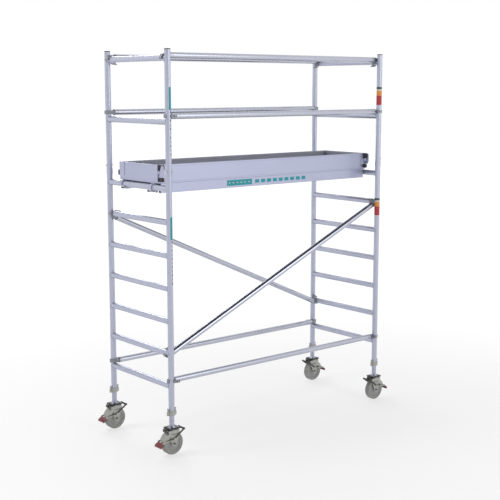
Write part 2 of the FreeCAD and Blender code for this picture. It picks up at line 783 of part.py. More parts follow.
def make_platform_frame():
    """Side beams with their ledges, end bars and crossbars of the platform."""
    bars = side_beam(-1) + side_beam(1)
    for sign in (-1, 1):
        bars.append(crossbar((sign * (beam_end - end_bar_width), sign * beam_end), deck_bottom))
    for x in crossbar_middles():
        bars.append(crossbar((x - crossbar_width / 2, x + crossbar_width / 2), ledge_bottom))
    save("platform_frame", bars)


def make_deck():
    """The fixed deck boards on both sides of the hatch."""
    half = beam_inner - deck_gap
    end = beam_end - deck_gap
    z_range = (deck_bottom, deck_top)
    short = box((-end, hatch_start - hatch_gap / 2), (-half, half), z_range)
    long = box((hatch_end + hatch_gap / 2, end), (-half, half), z_range)
    save("deck_panels", [short, long])


def hinge_middles():
    """Where the two hinges of the hatch lie along X."""
    return [hatch_start + hinge_from_edge, hatch_end - hinge_from_edge]


def hinge_axis_place():
    """The Y and Z of the hatch's hinge axis, along the back side beam."""
    return beam_inner - hinge_inset, beam_top + hinge_rise


def hinge_fixed_half(x):
    """The hinge half on the back beam: a leaf, two outer knuckles and the pin."""
    y, z = hinge_axis_place()
    half = knuckle_length / 2 + knuckle_gap
    far = half + knuckle_length
    pieces = [rod(hinge_pin_radius, V(x - far, y, z), V(x + far, y, z))]
    for sign in (-1, 1):
        x_range = (x + sign * half, x + sign * far)
        pieces.append(rod(knuckle_radius, V(x_range[0], y, z), V(x_range[1], y, z)))
        pieces.append(box(x_range, (y + 1.5, beam_inner + 6), (beam_top, z)))
    return pieces[0].multiFuse(pieces[1:]).removeSplitter()


def make_hatch():
    """The lifting hatch with its moving hinge halves, and the fixed hinge halves."""
    half = beam_inner - deck_gap - 1
    x_range = (hatch_start + hatch_gap / 2, hatch_end - hatch_gap / 2)
    panel = box(x_range, (-half, half), (deck_bottom, deck_top))
    y, z = hinge_axis_place()
    knuckles = []
    for x in hinge_middles():
        span = (x - knuckle_length / 2, x + knuckle_length / 2)
        knuckles.append(rod(knuckle_radius, V(span[0], y, z), V(span[1], y, z)))
        knuckles.append(box(span, (half - 42, y - 1), (deck_top, deck_top + 2.5)))
        knuckles.append(box(span, (y - knuckle_radius, y - 1), (deck_top, z)))
    hatch = panel.multiFuse(knuckles)
    for x in hinge_middles():
        reach = V(knuckle_length, 0, 0)
        hatch = hatch.cut(rod(hinge_pin_radius + hinge_clearance, V(x, y, z) - reach, V(x, y, z) + reach))
    latch_x = (hatch_start + hatch_end) / 2
    latch_y = -half + latch_from_edge
    hatch = hatch.cut(rod(latch_shaft_radius + latch_clearance, V(latch_x, latch_y, deck_bottom),
                          V(latch_x, latch_y, deck_top)))
    save("hatch", [hatch])
    save("hatch_hinges", [hinge_fixed_half(x) for x in hinge_middles()])


def make_latch():
    """The turn button that holds the hatch under the front ledge, turned to its free position."""
    half = beam_inner - deck_gap - 1
    x = (hatch_start + hatch_end) / 2
    y = -half + latch_from_edge
    knob_low = deck_top + latch_gap / 2
    tongue_top = ledge_bottom - latch_gap
    tongue_low = tongue_top - latch_tongue_thickness
    knob = rod(latch_knob_radius, V(x, y, knob_low), V(x, y, knob_low + latch_knob_height))
    shaft = rod(latch_shaft_radius, V(x, y, tongue_low), V(x, y, knob_low))
    hub = rod(latch_tongue_width / 2, V(x, y, tongue_low), V(x, y, tongue_top))
    tongue_y = (y - latch_tongue_width / 2, y + latch_tongue_width / 2)
    tongue = box((x, x + latch_tongue_reach), tongue_y, (tongue_low, tongue_top))
    save("hatch_latch", [knob.multiFuse([shaft, hub, tongue]).removeSplitter()])


def toe_end_face():
    """The X of the outer face of the right-hand end board."""
    return half_bay - toe_end_outset


def make_toe_boards():
    """Two long toe boards on the beams, and two end boards over the hooks."""
    top = beam_top + toe_board_height
    end_face = toe_end_face()
    inner_face = end_face - toe_board_thickness
    boards = []
    for sign in (-1, 1):
        y_range = (sign * (beam_outer - toe_board_thickness), sign * beam_outer)
        boards.append(box((-inner_face, inner_face), y_range, (beam_top, top)))
    end_low = platform_rung + hook_outer + toe_end_gap
    for sign in (-1, 1):
        x_range = (sign * inner_face, sign * end_face)
        boards.append(box(x_range, (-beam_outer, beam_outer), (end_low, top)))
    save("toe_boards", boards)


def toe_corner(x_sign, y_sign):
    """An angle plate round the outside of a toe board corner."""
    high = beam_top + toe_board_height
    z_range = (high - corner_height, high)
    x = toe_end_face()
    y = beam_outer
    end_y = (y_sign * (y - corner_reach), y_sign * (y + corner_plate))
    end_leg = box((x_sign * x, x_sign * (x + corner_plate)), end_y, z_range)
    side_x = (x_sign * (x - corner_reach), x_sign * x)
    side_leg = box(side_x, (y_sign * y, y_sign * (y + corner_plate)), z_range)
    return end_leg.fuse(side_leg).removeSplitter()


def make_toe_corners():
    """The four corner plates that tie the toe boards together."""
    save("toe_board_corners", [toe_corner(i, j) for i in (-1, 1) for j in (-1, 1)])


# ---- Hooks and wind locks, drawn for the right end about the platform rung axis ----
def hook_middle():
    """The distance of a hook from the middle of the platform, along Y."""
    return beam_outer - hook_from_side


def catch_axis():
    """The pivot of a wind lock, from the rung axis."""
    low = -rung_radius - catch_rung_gap - catch_bar / 2
    return -rung_radius - 2.5, low - 2


def platform_hook():
    """A hook over the rung, with the stub pin that its wind lock turns on."""
    half = hook_width / 2
    ring = rod(hook_outer, V(0, -half, 0), V(0, half, 0))
    ring = ring.cut(box((-hook_outer, hook_outer), (-half, half), (-hook_outer, 0)))
    arm_start = beam_end - half_bay
    arm = box((arm_start, 0), (-half, half), (-hook_arm_drop, 0))
    arm = arm.cut(box((-hook_inner + 2, 0), (-half, half), (-hook_arm_drop, 0)))
    lip = box((hook_inner, hook_outer), (-half, half), (-hook_lip, 0))
    pin_x, pin_z = catch_axis()
    boss = rod(catch_hub_radius, V(pin_x, -half, pin_z), V(pin_x, half, pin_z))
    hook = ring.multiFuse([arm, lip, boss])
    hook = hook.cut(rod(hook_inner, V(0, -half, 0), V(0, half, 0)))
    pin_end = -half - catch_side_gap - catch_width - 2
    pin = rod(catch_pin_radius, V(pin_x, pin_end, pin_z), V(pin_x, -half, pin_z))
    return hook.fuse(pin).removeSplitter()


def wind_lock():
    """The catch that swings under the rung so that the platform can't lift."""
    high = -hook_width / 2 - catch_side_gap
    low = high - catch_width
    pin_x, pin_z = catch_axis()
    hub = rod(catch_hub_radius, V(pin_x, low, pin_z), V(pin_x, high, pin_z))
    bar_top = -rung_radius - catch_rung_gap
    outline = [
        (pin_x, bar_top),
        (catch_nose, bar_top),
        (catch_nose + 6, bar_top + 7),
        (catch_nose + 9, bar_top - catch_bar),
        (pin_x, pin_z - catch_hub_radius),
    ]
    catch = hub.fuse(slab(outline, (low, high)))
    bore = rod(catch_pin_radius + catch_clearance, V(pin_x, low, pin_z), V(pin_x, high, pin_z))
    return catch.cut(bore).removeSplitter()


def make_hooks():
    """Four hooks and four wind locks, the wind locks beside the hooks on the inner side."""
    hook = platform_hook()
    catch = wind_lock()
    hooks = []
    for row, y_sign in row_sides.items():
        for side, x_sign in frame_sides.items():
            origin = V(x_sign * half_bay, y_sign * hook_middle(), platform_rung)
            turned = x_sign * y_sign
            shapes = []
            for piece in (hook, catch):
                copy = piece if turned > 0 else piece.mirror(V(0, 0, 0), Y_AXIS)
                shapes.append(placed(copy, origin, X_AXIS * x_sign, Y_AXIS * x_sign))
            hooks.append(shapes[0])
            save(f"wind_lock_{row}_{side}", [shapes[1]])
    save("platform_hooks", hooks)


def main():
    """Make every node."""
    os.makedirs("parts", exist_ok=True)
    make_end_frames()
    make_post_joints()
    make_braces()
    make_casters()
    make_platform_frame()
    make_deck()
    make_hatch()
    make_latch()
    make_toe_boards()
    make_toe_corners()
    make_hooks()


main()
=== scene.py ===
"""Looks for a mobile access tower: finishes, welds, threads, wheels, platform fittings and labels."""
import json
import math

import bmesh
import bpy
from bpy.props import FloatProperty, FloatVectorProperty, IntProperty, PointerProperty
from mathutils import Euler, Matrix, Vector


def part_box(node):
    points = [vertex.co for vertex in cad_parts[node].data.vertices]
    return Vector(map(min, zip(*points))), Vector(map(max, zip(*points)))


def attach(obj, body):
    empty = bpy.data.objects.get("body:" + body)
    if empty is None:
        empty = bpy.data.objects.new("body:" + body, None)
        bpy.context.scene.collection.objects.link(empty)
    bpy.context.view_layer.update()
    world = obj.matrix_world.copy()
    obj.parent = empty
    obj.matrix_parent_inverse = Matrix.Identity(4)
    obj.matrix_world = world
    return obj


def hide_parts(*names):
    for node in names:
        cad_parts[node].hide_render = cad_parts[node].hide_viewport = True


bl_info = {
    "name": "Access Tower Finishes",
    "version": (1, 0, 0),
    "blender": (4, 5, 0),
    "location": "View3D > Sidebar > Tower",
    "description": "Builds the stage, finishes and fittings of a mobile access tower",
    "category": "Object",
}

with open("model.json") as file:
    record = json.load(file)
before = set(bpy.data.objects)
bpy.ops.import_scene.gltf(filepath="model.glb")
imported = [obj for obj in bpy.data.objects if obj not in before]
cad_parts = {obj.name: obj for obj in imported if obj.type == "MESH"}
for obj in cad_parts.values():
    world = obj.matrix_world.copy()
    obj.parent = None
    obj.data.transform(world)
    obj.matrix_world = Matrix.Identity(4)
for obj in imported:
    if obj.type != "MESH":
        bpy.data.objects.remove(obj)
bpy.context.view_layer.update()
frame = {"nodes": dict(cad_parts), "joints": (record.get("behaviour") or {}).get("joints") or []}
nodes = frame["nodes"]

# ---- Places read from the frame, in metres ----
JOINTS = {joint["name"]: joint for joint in frame["joints"]}
CORNERS = ("front_left", "front_right", "back_left", "back_right")
POSTS = {corner: Vector(JOINTS[f"jack_nut_{corner}_turn"]["pos_m"]) for corner in CORNERS}
POST_X = POSTS["front_right"].x
POST_Y = POSTS["back_right"].y
GUARD_LOW, GUARD_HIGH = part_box("guard_frame_right")
POST_RADIUS = (GUARD_HIGH.x - GUARD_LOW.x) / 2
BEAM_LOW, BEAM_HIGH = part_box("platform_frame")
TOE_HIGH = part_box("toe_boards")[1]
DECK_LOW, DECK_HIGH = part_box("deck_panels")
HATCH_LOW, HATCH_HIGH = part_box("hatch")
WHEEL_LOW, WHEEL_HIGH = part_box("caster_wheel_front_right")
WHEEL_RADIUS = (WHEEL_HIGH.z - WHEEL_LOW.z) / 2
HUB_HALF = (WHEEL_HIGH.y - WHEEL_LOW.y) / 2

# ---- Places that the frame doesn't give, in metres ----
STEM_SHOWN = 0.104              # from the flange to the wing nut as the tower stands
STEM_RADIUS = 0.022
NECK_HEIGHT = 0.013
FLANGE_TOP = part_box("jack_nut_front_left")[0].z - STEM_SHOWN
LADDER_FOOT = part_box("ladder_frame_left")[0].z
AXLE_HEIGHT = 0.100
RACE_LOW = 0.218                # underside of the swivel race above the floor
FORK_HALF = 0.036               # outer faces of the castor fork from the wheel's middle
SEAT_RADIUS = WHEEL_RADIUS * 0.79       # of the wheel centre, where the tyre sits
PEDAL_INNER = Vector((0.114, 0.125))    # outwards from the post axis, and up from the floor
PEDAL_OUTER = Vector((0.152, 0.090))
RELEASE_BAR = Vector((-0.100, 0.215))
ARM_INNER = 0.0375
BOARD_DEPTH = 0.023             # thickness of a toe board profile
SCREW_INSET = 0.030             # of the last deck screw from the end of its board

# ---- Stage ----
CAMERA_PLACE = (-6.2292, -7.4215, 3.1141)
CAMERA_DOWN = 8.945             # degrees below level
CAMERA_TURN = -40.008           # degrees from looking along +Y
CAMERA_LENS = 74.84             # mm, on a sensor 36 mm wide
LIGHT_TARGET = Vector((0, 0, 1.4))
LIGHTS = (                      # name, place, side in metres, power in watts
    ("key", (-5.5, 2.5, 7.0), 2.6, 190.0),
    ("fill", (2.5, -8.0, 4.5), 5.0, 120.0),
    ("back", (1.5, 7.0, 6.5), 2.4, 110.0),
)
DARK_SKY = (-0.35, -0.15, 0.92)         # the way to the dark part of the ceiling
WHITE = (1.0, 1.0, 1.0, 1.0)
BLACK = (0.0, 0.0, 0.0, 1.0)

# ---- Tones beside the panel's colours ----
TONES = {
    # dark zinc of the axle nuts, and painted shadow on the strip under the fork's hood
    "dark zinc and painted shadow": (0.10, 0.10, 0.09, 1.0),
    "bright zinc": (0.62, 0.63, 0.64, 1.0),
    # painted shade for the rocker's upper arm under the edge of the fork's hood
    "painted shade on zinc": (0.085, 0.085, 0.075, 1.0),
    "inner board": (0.36, 0.38, 0.46, 1.0),
    "dark ply": (0.30, 0.19, 0.10, 1.0),
    "pale ply": (0.46, 0.33, 0.20, 1.0),
    "sealed end": (0.07, 0.075, 0.10, 1.0),
    "ink": (0.03, 0.05, 0.06, 1.0),
    "cream": (0.62, 0.56, 0.44, 1.0),
    "amber": (0.70, 0.26, 0.03, 1.0),
    "red": (0.42, 0.02, 0.03, 1.0),
    "scratch": (0.55, 0.56, 0.58, 1.0),
}

# ---- Patterns in the finishes ----
UPRIGHT_LINES = (420.0, 420.0, 3.0)     # noise scale on each axis, low along the die lines
LEVEL_LINES = (420.0, 3.0, 420.0)
LINE_DEPTH = 0.00006                    # of the bump, in metres
WEAVE_PITCH = 0.006
PLY_PITCH = 0.0027


def length(name, description, default):
    """A length for the panel."""
    return FloatProperty(name=name, description=description, default=default, unit="LENGTH")


def shade(name, description, default):
    """A colour for the panel."""
    return FloatVectorProperty(name=name, description=description, default=default, subtype="COLOR")


class TowerSizes(bpy.types.PropertyGroup):
    """Sizes that the frame doesn't give."""

    rung_pitch: length("Rung pitch", "Height from one rung to the next", 0.28)
    first_rung: length("First rung", "Lowest rung axis above the foot of a post", 0.212)
    rung_count: IntProperty(name="Rungs", description="Rungs on each ladder frame", default=7)
    mid_rung: length("Middle guard rung", "Its axis above the foot of the guard post", 0.434)
    top_rung: length("Top guard rung", "Its axis below the top of the guard post", 0.066)
    weld_radius: length("Weld radius", "Radius of a weld bead round a rung end", 0.0026)
    thread_pitch: length("Thread pitch", "Rise of the jack thread in one turn", 0.008)
    thread_crest: length("Thread crest", "Height of the thread above the jack stem", 0.0009)
    rivet_radius: length("Rivet radius", "Radius of a blind rivet head", 0.0048)
    wheel_ribs: IntProperty(name="Wheel ribs", description="Ribs on each side of a wheel centre", default=12)


class TowerColours(bpy.types.PropertyGroup):
    """Base colours of the finishes."""

    frame: shade("Frame aluminium", "Posts, rungs and jack stems", (0.47, 0.49, 0.60))
    brace: shade("Brace aluminium", "Rails and diagonals", (0.50, 0.52, 0.60))
    cast: shade("Cast aluminium", "Claws and their triggers", (0.27, 0.28, 0.31))
    platform: shade("Platform aluminium", "Beams, hooks and toe boards", (0.44, 0.46, 0.60))
    zinc: shade("Zinc", "Castors and wing nuts", (0.40, 0.405, 0.375))
    wheel: shade("Wheel grey", "Tyres and wheel centres", (0.29, 0.29, 0.28))
    plastic: shade("Black plastic", "Caps, grips, clips and pedal soles", (0.018, 0.018, 0.02))
    pedal: shade("Pedal red", "Brake pedal pads", (0.26, 0.055, 0.066))
    deck: shade("Deck brown", "Film on the plywood deck", (0.075, 0.04, 0.026))
    teal: shade("Label teal", "Main label colour", (0.0, 0.27, 0.33))


def sizes():
    """The sizes that the panel shows."""
    return bpy.context.scene.tower_sizes


def colour(name):
    """One of the panel's colours, with an alpha of 1."""
    return (*getattr(bpy.context.scene.tower_colours, name), 1.0)


# ---- Shader expressions ----
class Value:
    """A shader socket.  Arithmetic on it adds Math nodes."""

    def __init__(self, finish, socket):
        self.finish = finish
        self.socket = socket

    def math(self, operation, first, second=0.0):
        """Adds a Math node."""
        return self.finish.node(
            "ShaderNodeMath", {"operation": operation}, {0: first, 1: second})

    def __add__(self, other):
        return self.math("ADD", self, other)

    def __sub__(self, other):
        return self.math("SUBTRACT", self, other)

    def __rsub__(self, other):
        return self.math("SUBTRACT", other, self)

    def __mul__(self, other):
        return self.math("MULTIPLY", self, other)

    def __abs__(self):
        return self.math("ABSOLUTE", self)

    def __gt__(self, other):
        return self.math("GREATER_THAN", self, other)

    def __lt__(self, other):
        return self.math("LESS_THAN", self, other)

    def sine(self):
        return self.math("SINE", self)

    __radd__ = __add__
    __rmul__ = __mul__


class Finish:
    """One material in the making."""

    def __init__(self, name):
        self.material = bpy.data.materials.new(name)
        self.material.use_nodes = True
        self.tree = self.material.node_tree
        self.tree.nodes.clear()

    def node(self, kind, settings, inputs, output=0):
        """Adds a node: its settings first, then the values or links of its sockets."""
        node = self.tree.nodes.new(kind)
        for key, value in settings.items():
            setattr(node, key, value)
        for key, value in inputs.items():
            if isinstance(value, Value):
                self.tree.links.new(value.socket, node.inputs[key])
            else:
                node.inputs[key].default_value = value
        return Value(self, node.outputs[output])

    def place(self):
        """Object coordinates."""
        return self.node("ShaderNodeTexCoord", {}, {}, "Object")

    def axes(self):
        """X, Y and Z of the object coordinates, as three numbers."""
        split = self.tree.nodes.new("ShaderNodeSeparateXYZ")
        self.tree.links.new(self.place().socket, split.inputs[0])
        return [Value(self, split.outputs[axis]) for axis in range(3)]

    def stretched(self, scale):
        """Object coordinates times a scale for each axis."""
        return self.node("ShaderNodeMapping", {}, {"Vector": self.place(), "Scale": scale})

    def noise(self, scale, detail=3.0, stretch=(1.0, 1.0, 1.0)):
        """Noise from 0 to 1 over the surface."""
        return self.node("ShaderNodeTexNoise", {}, {
            "Vector": self.stretched(stretch), "Scale": scale, "Detail": detail})

    def cells(self, scale, output="Color"):
        """Flat-sided cells, as on zinc."""
        return self.node("ShaderNodeTexVoronoi", {}, {"Vector": self.place(), "Scale": scale}, output)

    def ramp(self, value, low, high):
        """Spreads a value between two limits over 0 to 1."""
        return self.node("ShaderNodeMapRange", {}, {"Value": value, "From Min": low, "From Max": high})

    def mix(self, factor, first, second):
        """A colour between two others."""
        return self.node("ShaderNodeMix", {"data_type": "RGBA"}, {0: factor, 6: first, 7: second}, 2)

    def shaded(self, tone, low, high, factor):
        """One colour made darker and lighter by a factor."""
        dark = tuple(channel * low for channel in tone[:3]) + (1.0,)
        light = tuple(min(channel * high, 1.0) for channel in tone[:3]) + (1.0,)
        return self.mix(factor, dark, light)

    def bump(self, height, distance, strength=1.0):
        """A normal from a height, which is in metres when it is 1."""
        return self.node("ShaderNodeBump", {}, {
            "Height": height, "Distance": distance, "Strength": strength})

    def done(self, **inputs):
        """Closes the material with one shader."""
        named = {key.replace("_", " "): value for key, value in inputs.items()}
        shader = self.node("ShaderNodeBsdfPrincipled", {}, named)
        end = self.tree.nodes.new("ShaderNodeOutputMaterial")
        self.tree.links.new(shader.socket, end.inputs["Surface"])
        return self.material


# ---- Finishes ----
def drawn_aluminium(name, tone, lines, metallic=0.75, roughness=0.36):
    """Extruded aluminium with die lines and handling marks.  lines(finish) gives the die lines."""
    finish = Finish(name)
    streaks = lines(finish)
    clouds = finish.noise(3.5, 4.0)
    scuffs = finish.ramp(finish.noise(38.0, 6.0), 0.56, 0.74)
    base = finish.shaded(tone, 0.90, 1.06, streaks * 0.45 + clouds * 0.55)
    base = finish.mix(scuffs * 0.25, base, tuple(c * 0.72 for c in tone[:3]) + (1.0,))
    return finish.done(
        Base_Color=base, Metallic=metallic, Roughness=streaks * 0.12 + scuffs * 0.12 + (roughness - 0.08),
        Normal=finish.bump(streaks, LINE_DEPTH, 0.6))


def lines_along(stretch):
    """Die lines along the axis that the stretch keeps small."""
    return lambda finish: finish.noise(1.0, 2.0, stretch)


def ladder_lines(finish):
    """Die lines that stand on the posts and lie along the rungs."""
    _, y, _ = finish.axes()
    on_post = abs(y) > POST_Y - POST_RADIUS
    upright = finish.noise(1.0, 2.0, UPRIGHT_LINES)
    level = finish.noise(1.0, 2.0, LEVEL_LINES)
    return upright * on_post + level * (1.0 - on_post)


def board_lines(finish):
    """Die lines along the side boards and, on the end boards, across the tower."""
    x, _, _ = finish.axes()
    on_end = abs(x) > TOE_HIGH.x - BOARD_DEPTH - 0.001
    along = finish.noise(1.0, 2.0, (2.0, 380.0, 380.0))
    across = finish.noise(1.0, 2.0, (380.0, 2.0, 380.0))
    return across * on_end + along * (1.0 - on_end)


def toe_board_finish():
    """Platform aluminium with a darker, less metallic and rougher tone on the inner faces."""
    finish = Finish("toe_board_aluminium")
    x, y, _ = finish.axes()
    streaks = board_lines(finish)
    skin = 0.014        # deep enough for the beads and grooves of the outer face
    inside = (abs(y) < TOE_HIGH.y - skin) * (abs(x) < TOE_HIGH.x - skin)
    clouds = finish.noise(2.6, 4.0)
    tone = colour("platform")
    bright = finish.shaded(tone, 0.92, 1.05, streaks * 0.4 + clouds * 0.6)
    dull = finish.shaded(TONES["inner board"], 0.85, 1.15, clouds)
    return finish.done(
        Base_Color=finish.mix(inside, bright, dull), Metallic=0.7 - inside * 0.6,
        Roughness=streaks * 0.14 + 0.34 + inside * 0.12, Normal=finish.bump(streaks, LINE_DEPTH, 0.5))


def cast_finish():
    """Die cast aluminium with a fine grain and darker and lighter clouds."""
    finish = Finish("cast_aluminium_grain")
    grain = finish.noise(900.0, 4.0)
    clouds = finish.noise(18.0, 5.0)
    base = finish.shaded(colour("cast"), 0.78, 1.18, clouds * 0.7 + grain * 0.3)
    return finish.done(Base_Color=base, Metallic=0.65, Roughness=clouds * 0.2 + 0.38,
                       Normal=finish.bump(grain, 0.00025, 0.7))


def zinc_finish(name, tone, scale=110.0):
    """Zinc plated steel: cloudy crystals with small rubbed spots."""
    finish = Finish(name)
    crystals = finish.cells(scale, "Distance")
    clouds = finish.noise(24.0, 5.0)
    base = finish.shaded(tone, 0.78, 1.14, crystals * 0.6 + clouds * 0.55)
    return finish.done(Base_Color=base, Metallic=0.55, Roughness=clouds * 0.25 + 0.34,
                       Normal=finish.bump(clouds, 0.0003, 0.4))


def rocker_finish():
    """Zinc plated steel below, with a near black painted shade on the upper arm that the release bar
    crosses, under the edge of the fork's hood.
    """
    finish = Finish("brake_rocker")
    _, _, z = finish.axes()
    arm_low, arm_high = 0.132, 0.140    # heights between which the painted shade sets in
    arm = finish.ramp(z, arm_low, arm_high)
    clouds = finish.noise(24.0, 5.0)
    plated = finish.shaded(colour("zinc"), 0.78, 1.1, clouds)
    # painted shade: the upper arm is mixed towards a near black tone
    return finish.done(Base_Color=finish.mix(arm, plated, TONES["painted shade on zinc"]), Metallic=0.5,
                       Roughness=clouds * 0.25 + 0.36, Normal=finish.bump(clouds, 0.0003, 0.4))


def jack_finish():
    """Bare aluminium on the stem and the neck, black enamel on the plates under it."""
    finish = Finish("jack_stem_and_plates")
    _, _, z = finish.axes()
    on_plates = z < FLANGE_TOP + 0.0003
    streaks = finish.noise(1.0, 2.0, UPRIGHT_LINES)
    chips = finish.ramp(finish.noise(210.0, 3.0), 0.62, 0.68)
    bright = finish.shaded(colour("frame"), 0.88, 1.06, streaks)
    enamel = finish.mix(chips, colour("plastic"), colour("zinc"))
    return finish.done(
        Base_Color=finish.mix(on_plates, bright, enamel), Metallic=0.75 - on_plates * 0.55,
        Roughness=streaks * 0.12 + 0.30, Normal=finish.bump(streaks, LINE_DEPTH, 0.5))


def wind_lock_finish():
    """Cast aluminium with a black grip at the outer end."""
    finish = Finish("wind_lock_lever")
    x, _, _ = finish.axes()
    grip_length = 0.014
    grip = abs(x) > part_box("wind_lock_front_right")[1].x - grip_length
    clouds = finish.noise(40.0, 4.0)
    metal = finish.shaded(colour("frame"), 0.75, 1.0, clouds)
    return finish.done(Base_Color=finish.mix(grip, metal, colour("plastic")), Metallic=0.7 - grip * 0.7,
                       Roughness=clouds * 0.2 + 0.35, Normal=finish.bump(clouds, 0.0002, 0.4))


def plastic_finish(name, tone, roughness=0.42, grain_height=0.00018):
    """Moulded plastic with a fine spark grain and rubbed high spots."""
    finish = Finish(name)
    grain = finish.noise(1400.0, 2.0)
    wear = finish.ramp(finish.noise(60.0, 5.0), 0.50, 0.72)
    base = finish.mix(wear * 0.35, tone, tuple(min(c * 1.9 + 0.01, 1.0) for c in tone[:3]) + (1.0,))
    return finish.done(Base_Color=base, Roughness=grain * 0.1 + wear * 0.12 + (roughness - 0.06),
                       Normal=finish.bump(grain, grain_height, 0.6))


def tyre_finish():
    """Grey rubber, a little dusty on the tread."""
    finish = Finish("grey_rubber")
    grain = finish.noise(700.0, 4.0)
    dust = finish.ramp(finish.noise(22.0, 6.0), 0.40, 0.75)
    base = finish.shaded(colour("wheel"), 0.72, 1.22, dust * 0.7 + grain * 0.3)
    return finish.done(Base_Color=base, Roughness=dust * 0.2 + 0.55,
                       Normal=finish.bump(grain, 0.0003, 0.6))


def deck_finish():
    """Film faced plywood: a pressed grid on top, paler layers on the cut edges."""
    finish = Finish("deck_ply")
    x, y, z = finish.axes()
    skin = 0.0006       # film on either face of the board
    end_seal = 0.004
    step = 2 * math.pi / WEAVE_PITCH
    weave = ((x + y) * step).sine() * ((x - y) * step).sine()
    studs = finish.ramp(weave, 0.15, 0.75)
    top = z > DECK_HIGH.z - skin
    edge = (z > DECK_LOW.z + skin) * (1.0 - top)
    layers = finish.ramp((z * (2 * math.pi / PLY_PITCH)).sine(), -0.4, 0.4)
    worn = finish.ramp(finish.noise(5.0, 6.0), 0.45, 0.70)
    film = finish.shaded(colour("deck"), 0.75, 1.6, worn * 0.7 + studs * 0.3)
    ply = finish.mix(layers, TONES["dark ply"], TONES["pale ply"])
    sealed = abs(x) > DECK_HIGH.x - end_seal
    ply = finish.mix(sealed, ply, TONES["sealed end"])
    return finish.done(
        Base_Color=finish.mix(edge, film, ply), Roughness=worn * 0.25 + edge * 0.2 + 0.36,
        Normal=finish.bump(studs * top, 0.0006, 0.8))


def label_finish(name, tone):
    """A printed vinyl label, slightly faded and scratched."""
    finish = Finish(name)
    fade = finish.noise(12.0, 4.0)
    scratch = finish.ramp(finish.noise(1.0, 3.0, (900.0, 900.0, 60.0)), 0.66, 0.72)
    base = finish.shaded(tone, 0.86, 1.1, fade)
    base = finish.mix(scratch * 0.35, base, TONES["scratch"])
    return finish.done(Base_Color=base, Roughness=fade * 0.15 + 0.30)


# ---- Mesh work ----
TREES = {}
FINISHES = {}


def finished(name, mesh, finish, body="root", slot=None, replaces=(), sharp=35.0):
    """A piece of the object: its mesh, smooth up to an angle, its finish and the body it rides on."""
    mesh.name = name
    piece = bpy.data.objects.new(name, mesh)
    bpy.context.scene.collection.objects.link(piece)
    mesh.materials.clear()
    mesh.materials.append(FINISHES[finish])
    mesh.polygons.foreach_set("use_smooth", [True] * len(mesh.polygons))
    mesh.set_sharp_from_angle(angle=math.radians(sharp))
    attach(piece, body)
    if replaces:
        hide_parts(*replaces)


def closed(shape):
    """A mesh from bmesh work, welded and turned outwards."""
    bmesh.ops.remove_doubles(shape, verts=shape.verts, dist=1e-6)
    bmesh.ops.recalc_face_normals(shape, faces=shape.faces)
    mesh = bpy.data.meshes.new("shape")
    shape.to_mesh(mesh)
    shape.free()
    return mesh


def add_lathe(shape, profile, centre, axis, steps=64):
    """Turns a closed profile of (along, radius) points round an axis through the centre."""
    turn = Vector((0, 0, 1)).rotation_difference(Vector(axis)).to_matrix()
    rings = []
    for step in range(steps):
        angle = 2 * math.pi * step / steps
        spoke = Vector((math.cos(angle), math.sin(angle), 0))
        rings.append([
            shape.verts.new(centre + turn @ (spoke * radius + Vector((0, 0, along))))
            for along, radius in profile])
    for step in range(steps):
        here, there = rings[step], rings[(step + 1) % steps]
        for k in range(len(profile)):
            after = (k + 1) % len(profile)
            if profile[k][1] < 1e-9 and profile[after][1] < 1e-9:
                continue
            shape.faces.new([here[k], there[k], there[after], here[after]])


def solid_profile(half, radius, edge, steps=4):
    """A closed (along, radius) outline of a disc or pin with rounded edges."""
    points = [(-half, 0.0)]
    for sign in (-1, 1):
        for k in range(steps + 1):
            angle = math.pi / 2 * (k / steps if sign < 0 else 1 - k / steps)
            along = half - edge + edge * math.cos(angle)
            points.append((sign * along, radius - edge + edge * math.sin(angle)))
    return points + [(half, 0.0)]


def add_bar(shape, outline, low, high, place, edge=0.0, steps=3):
    """Extrudes a flat outline of (u, v) points from low to high.  place(u, v, w) gives the point."""
    part = bmesh.new()
    rings = [[part.verts.new((u, v, w)) for u, v in outline] for w in (low, high)]
    part.faces.new(rings[0])
    part.faces.new(list(reversed(rings[1])))
    for k in range(len(outline)):
        after = (k + 1) % len(outline)
        part.faces.new([rings[0][k], rings[1][k], rings[1][after], rings[0][after]])
    bmesh.ops.recalc_face_normals(part, faces=part.faces)
    if edge:
        turns = [e for e in part.edges if e.calc_face_angle(0) > math.radians(25)]
        bmesh.ops.bevel(part, geom=turns, offset=edge, segments=steps, profile=0.5, affect="EDGES",
                        clamp_overlap=True)
    for vert in part.verts:
        vert.co = place(*vert.co)
    merge(shape, part)


def merge(shape, part):
    """Moves one bmesh's faces into another."""
    mesh = bpy.data.meshes.new("part")
    part.to_mesh(mesh)
    part.free()
    shape.from_mesh(mesh)
    bpy.data.meshes.remove(mesh)


def add_tube(shape, points, radius, sides=10):
    """A round bar through the points, with closed ends."""
    part = bmesh.new()
    rings = []
    normal = (points[1] - points[0]).orthogonal().normalized()
    for k, point in enumerate(points):
        ahead = points[min(k + 1, len(points) - 1)] - points[max(k - 1, 0)]
        ahead.normalize()
        normal = (normal - ahead * normal.dot(ahead)).normalized()
        other = ahead.cross(normal)
        rings.append([
            part.verts.new(point + (normal * math.cos(a) + other * math.sin(a)) * radius)
            for a in [2 * math.pi * s / sides for s in range(sides)]])
    for one, two in zip(rings, rings[1:]):
        for s in range(sides):
            after = (s + 1) % sides
            part.faces.new([one[s], one[after], two[after], two[s]])
    part.faces.new(list(reversed(rings[0])))
    part.faces.new(rings[-1])
    merge(shape, part)


def arc(centre, radius, start, end, steps):
    """Points of a round stretch, as (u, v), from one angle in degrees to another."""
    angles = [math.radians(start + (end - start) * k / steps) for k in range(steps + 1)]
    return [(centre[0] + radius * math.cos(a), centre[1] + radius * math.sin(a)) for a in angles]


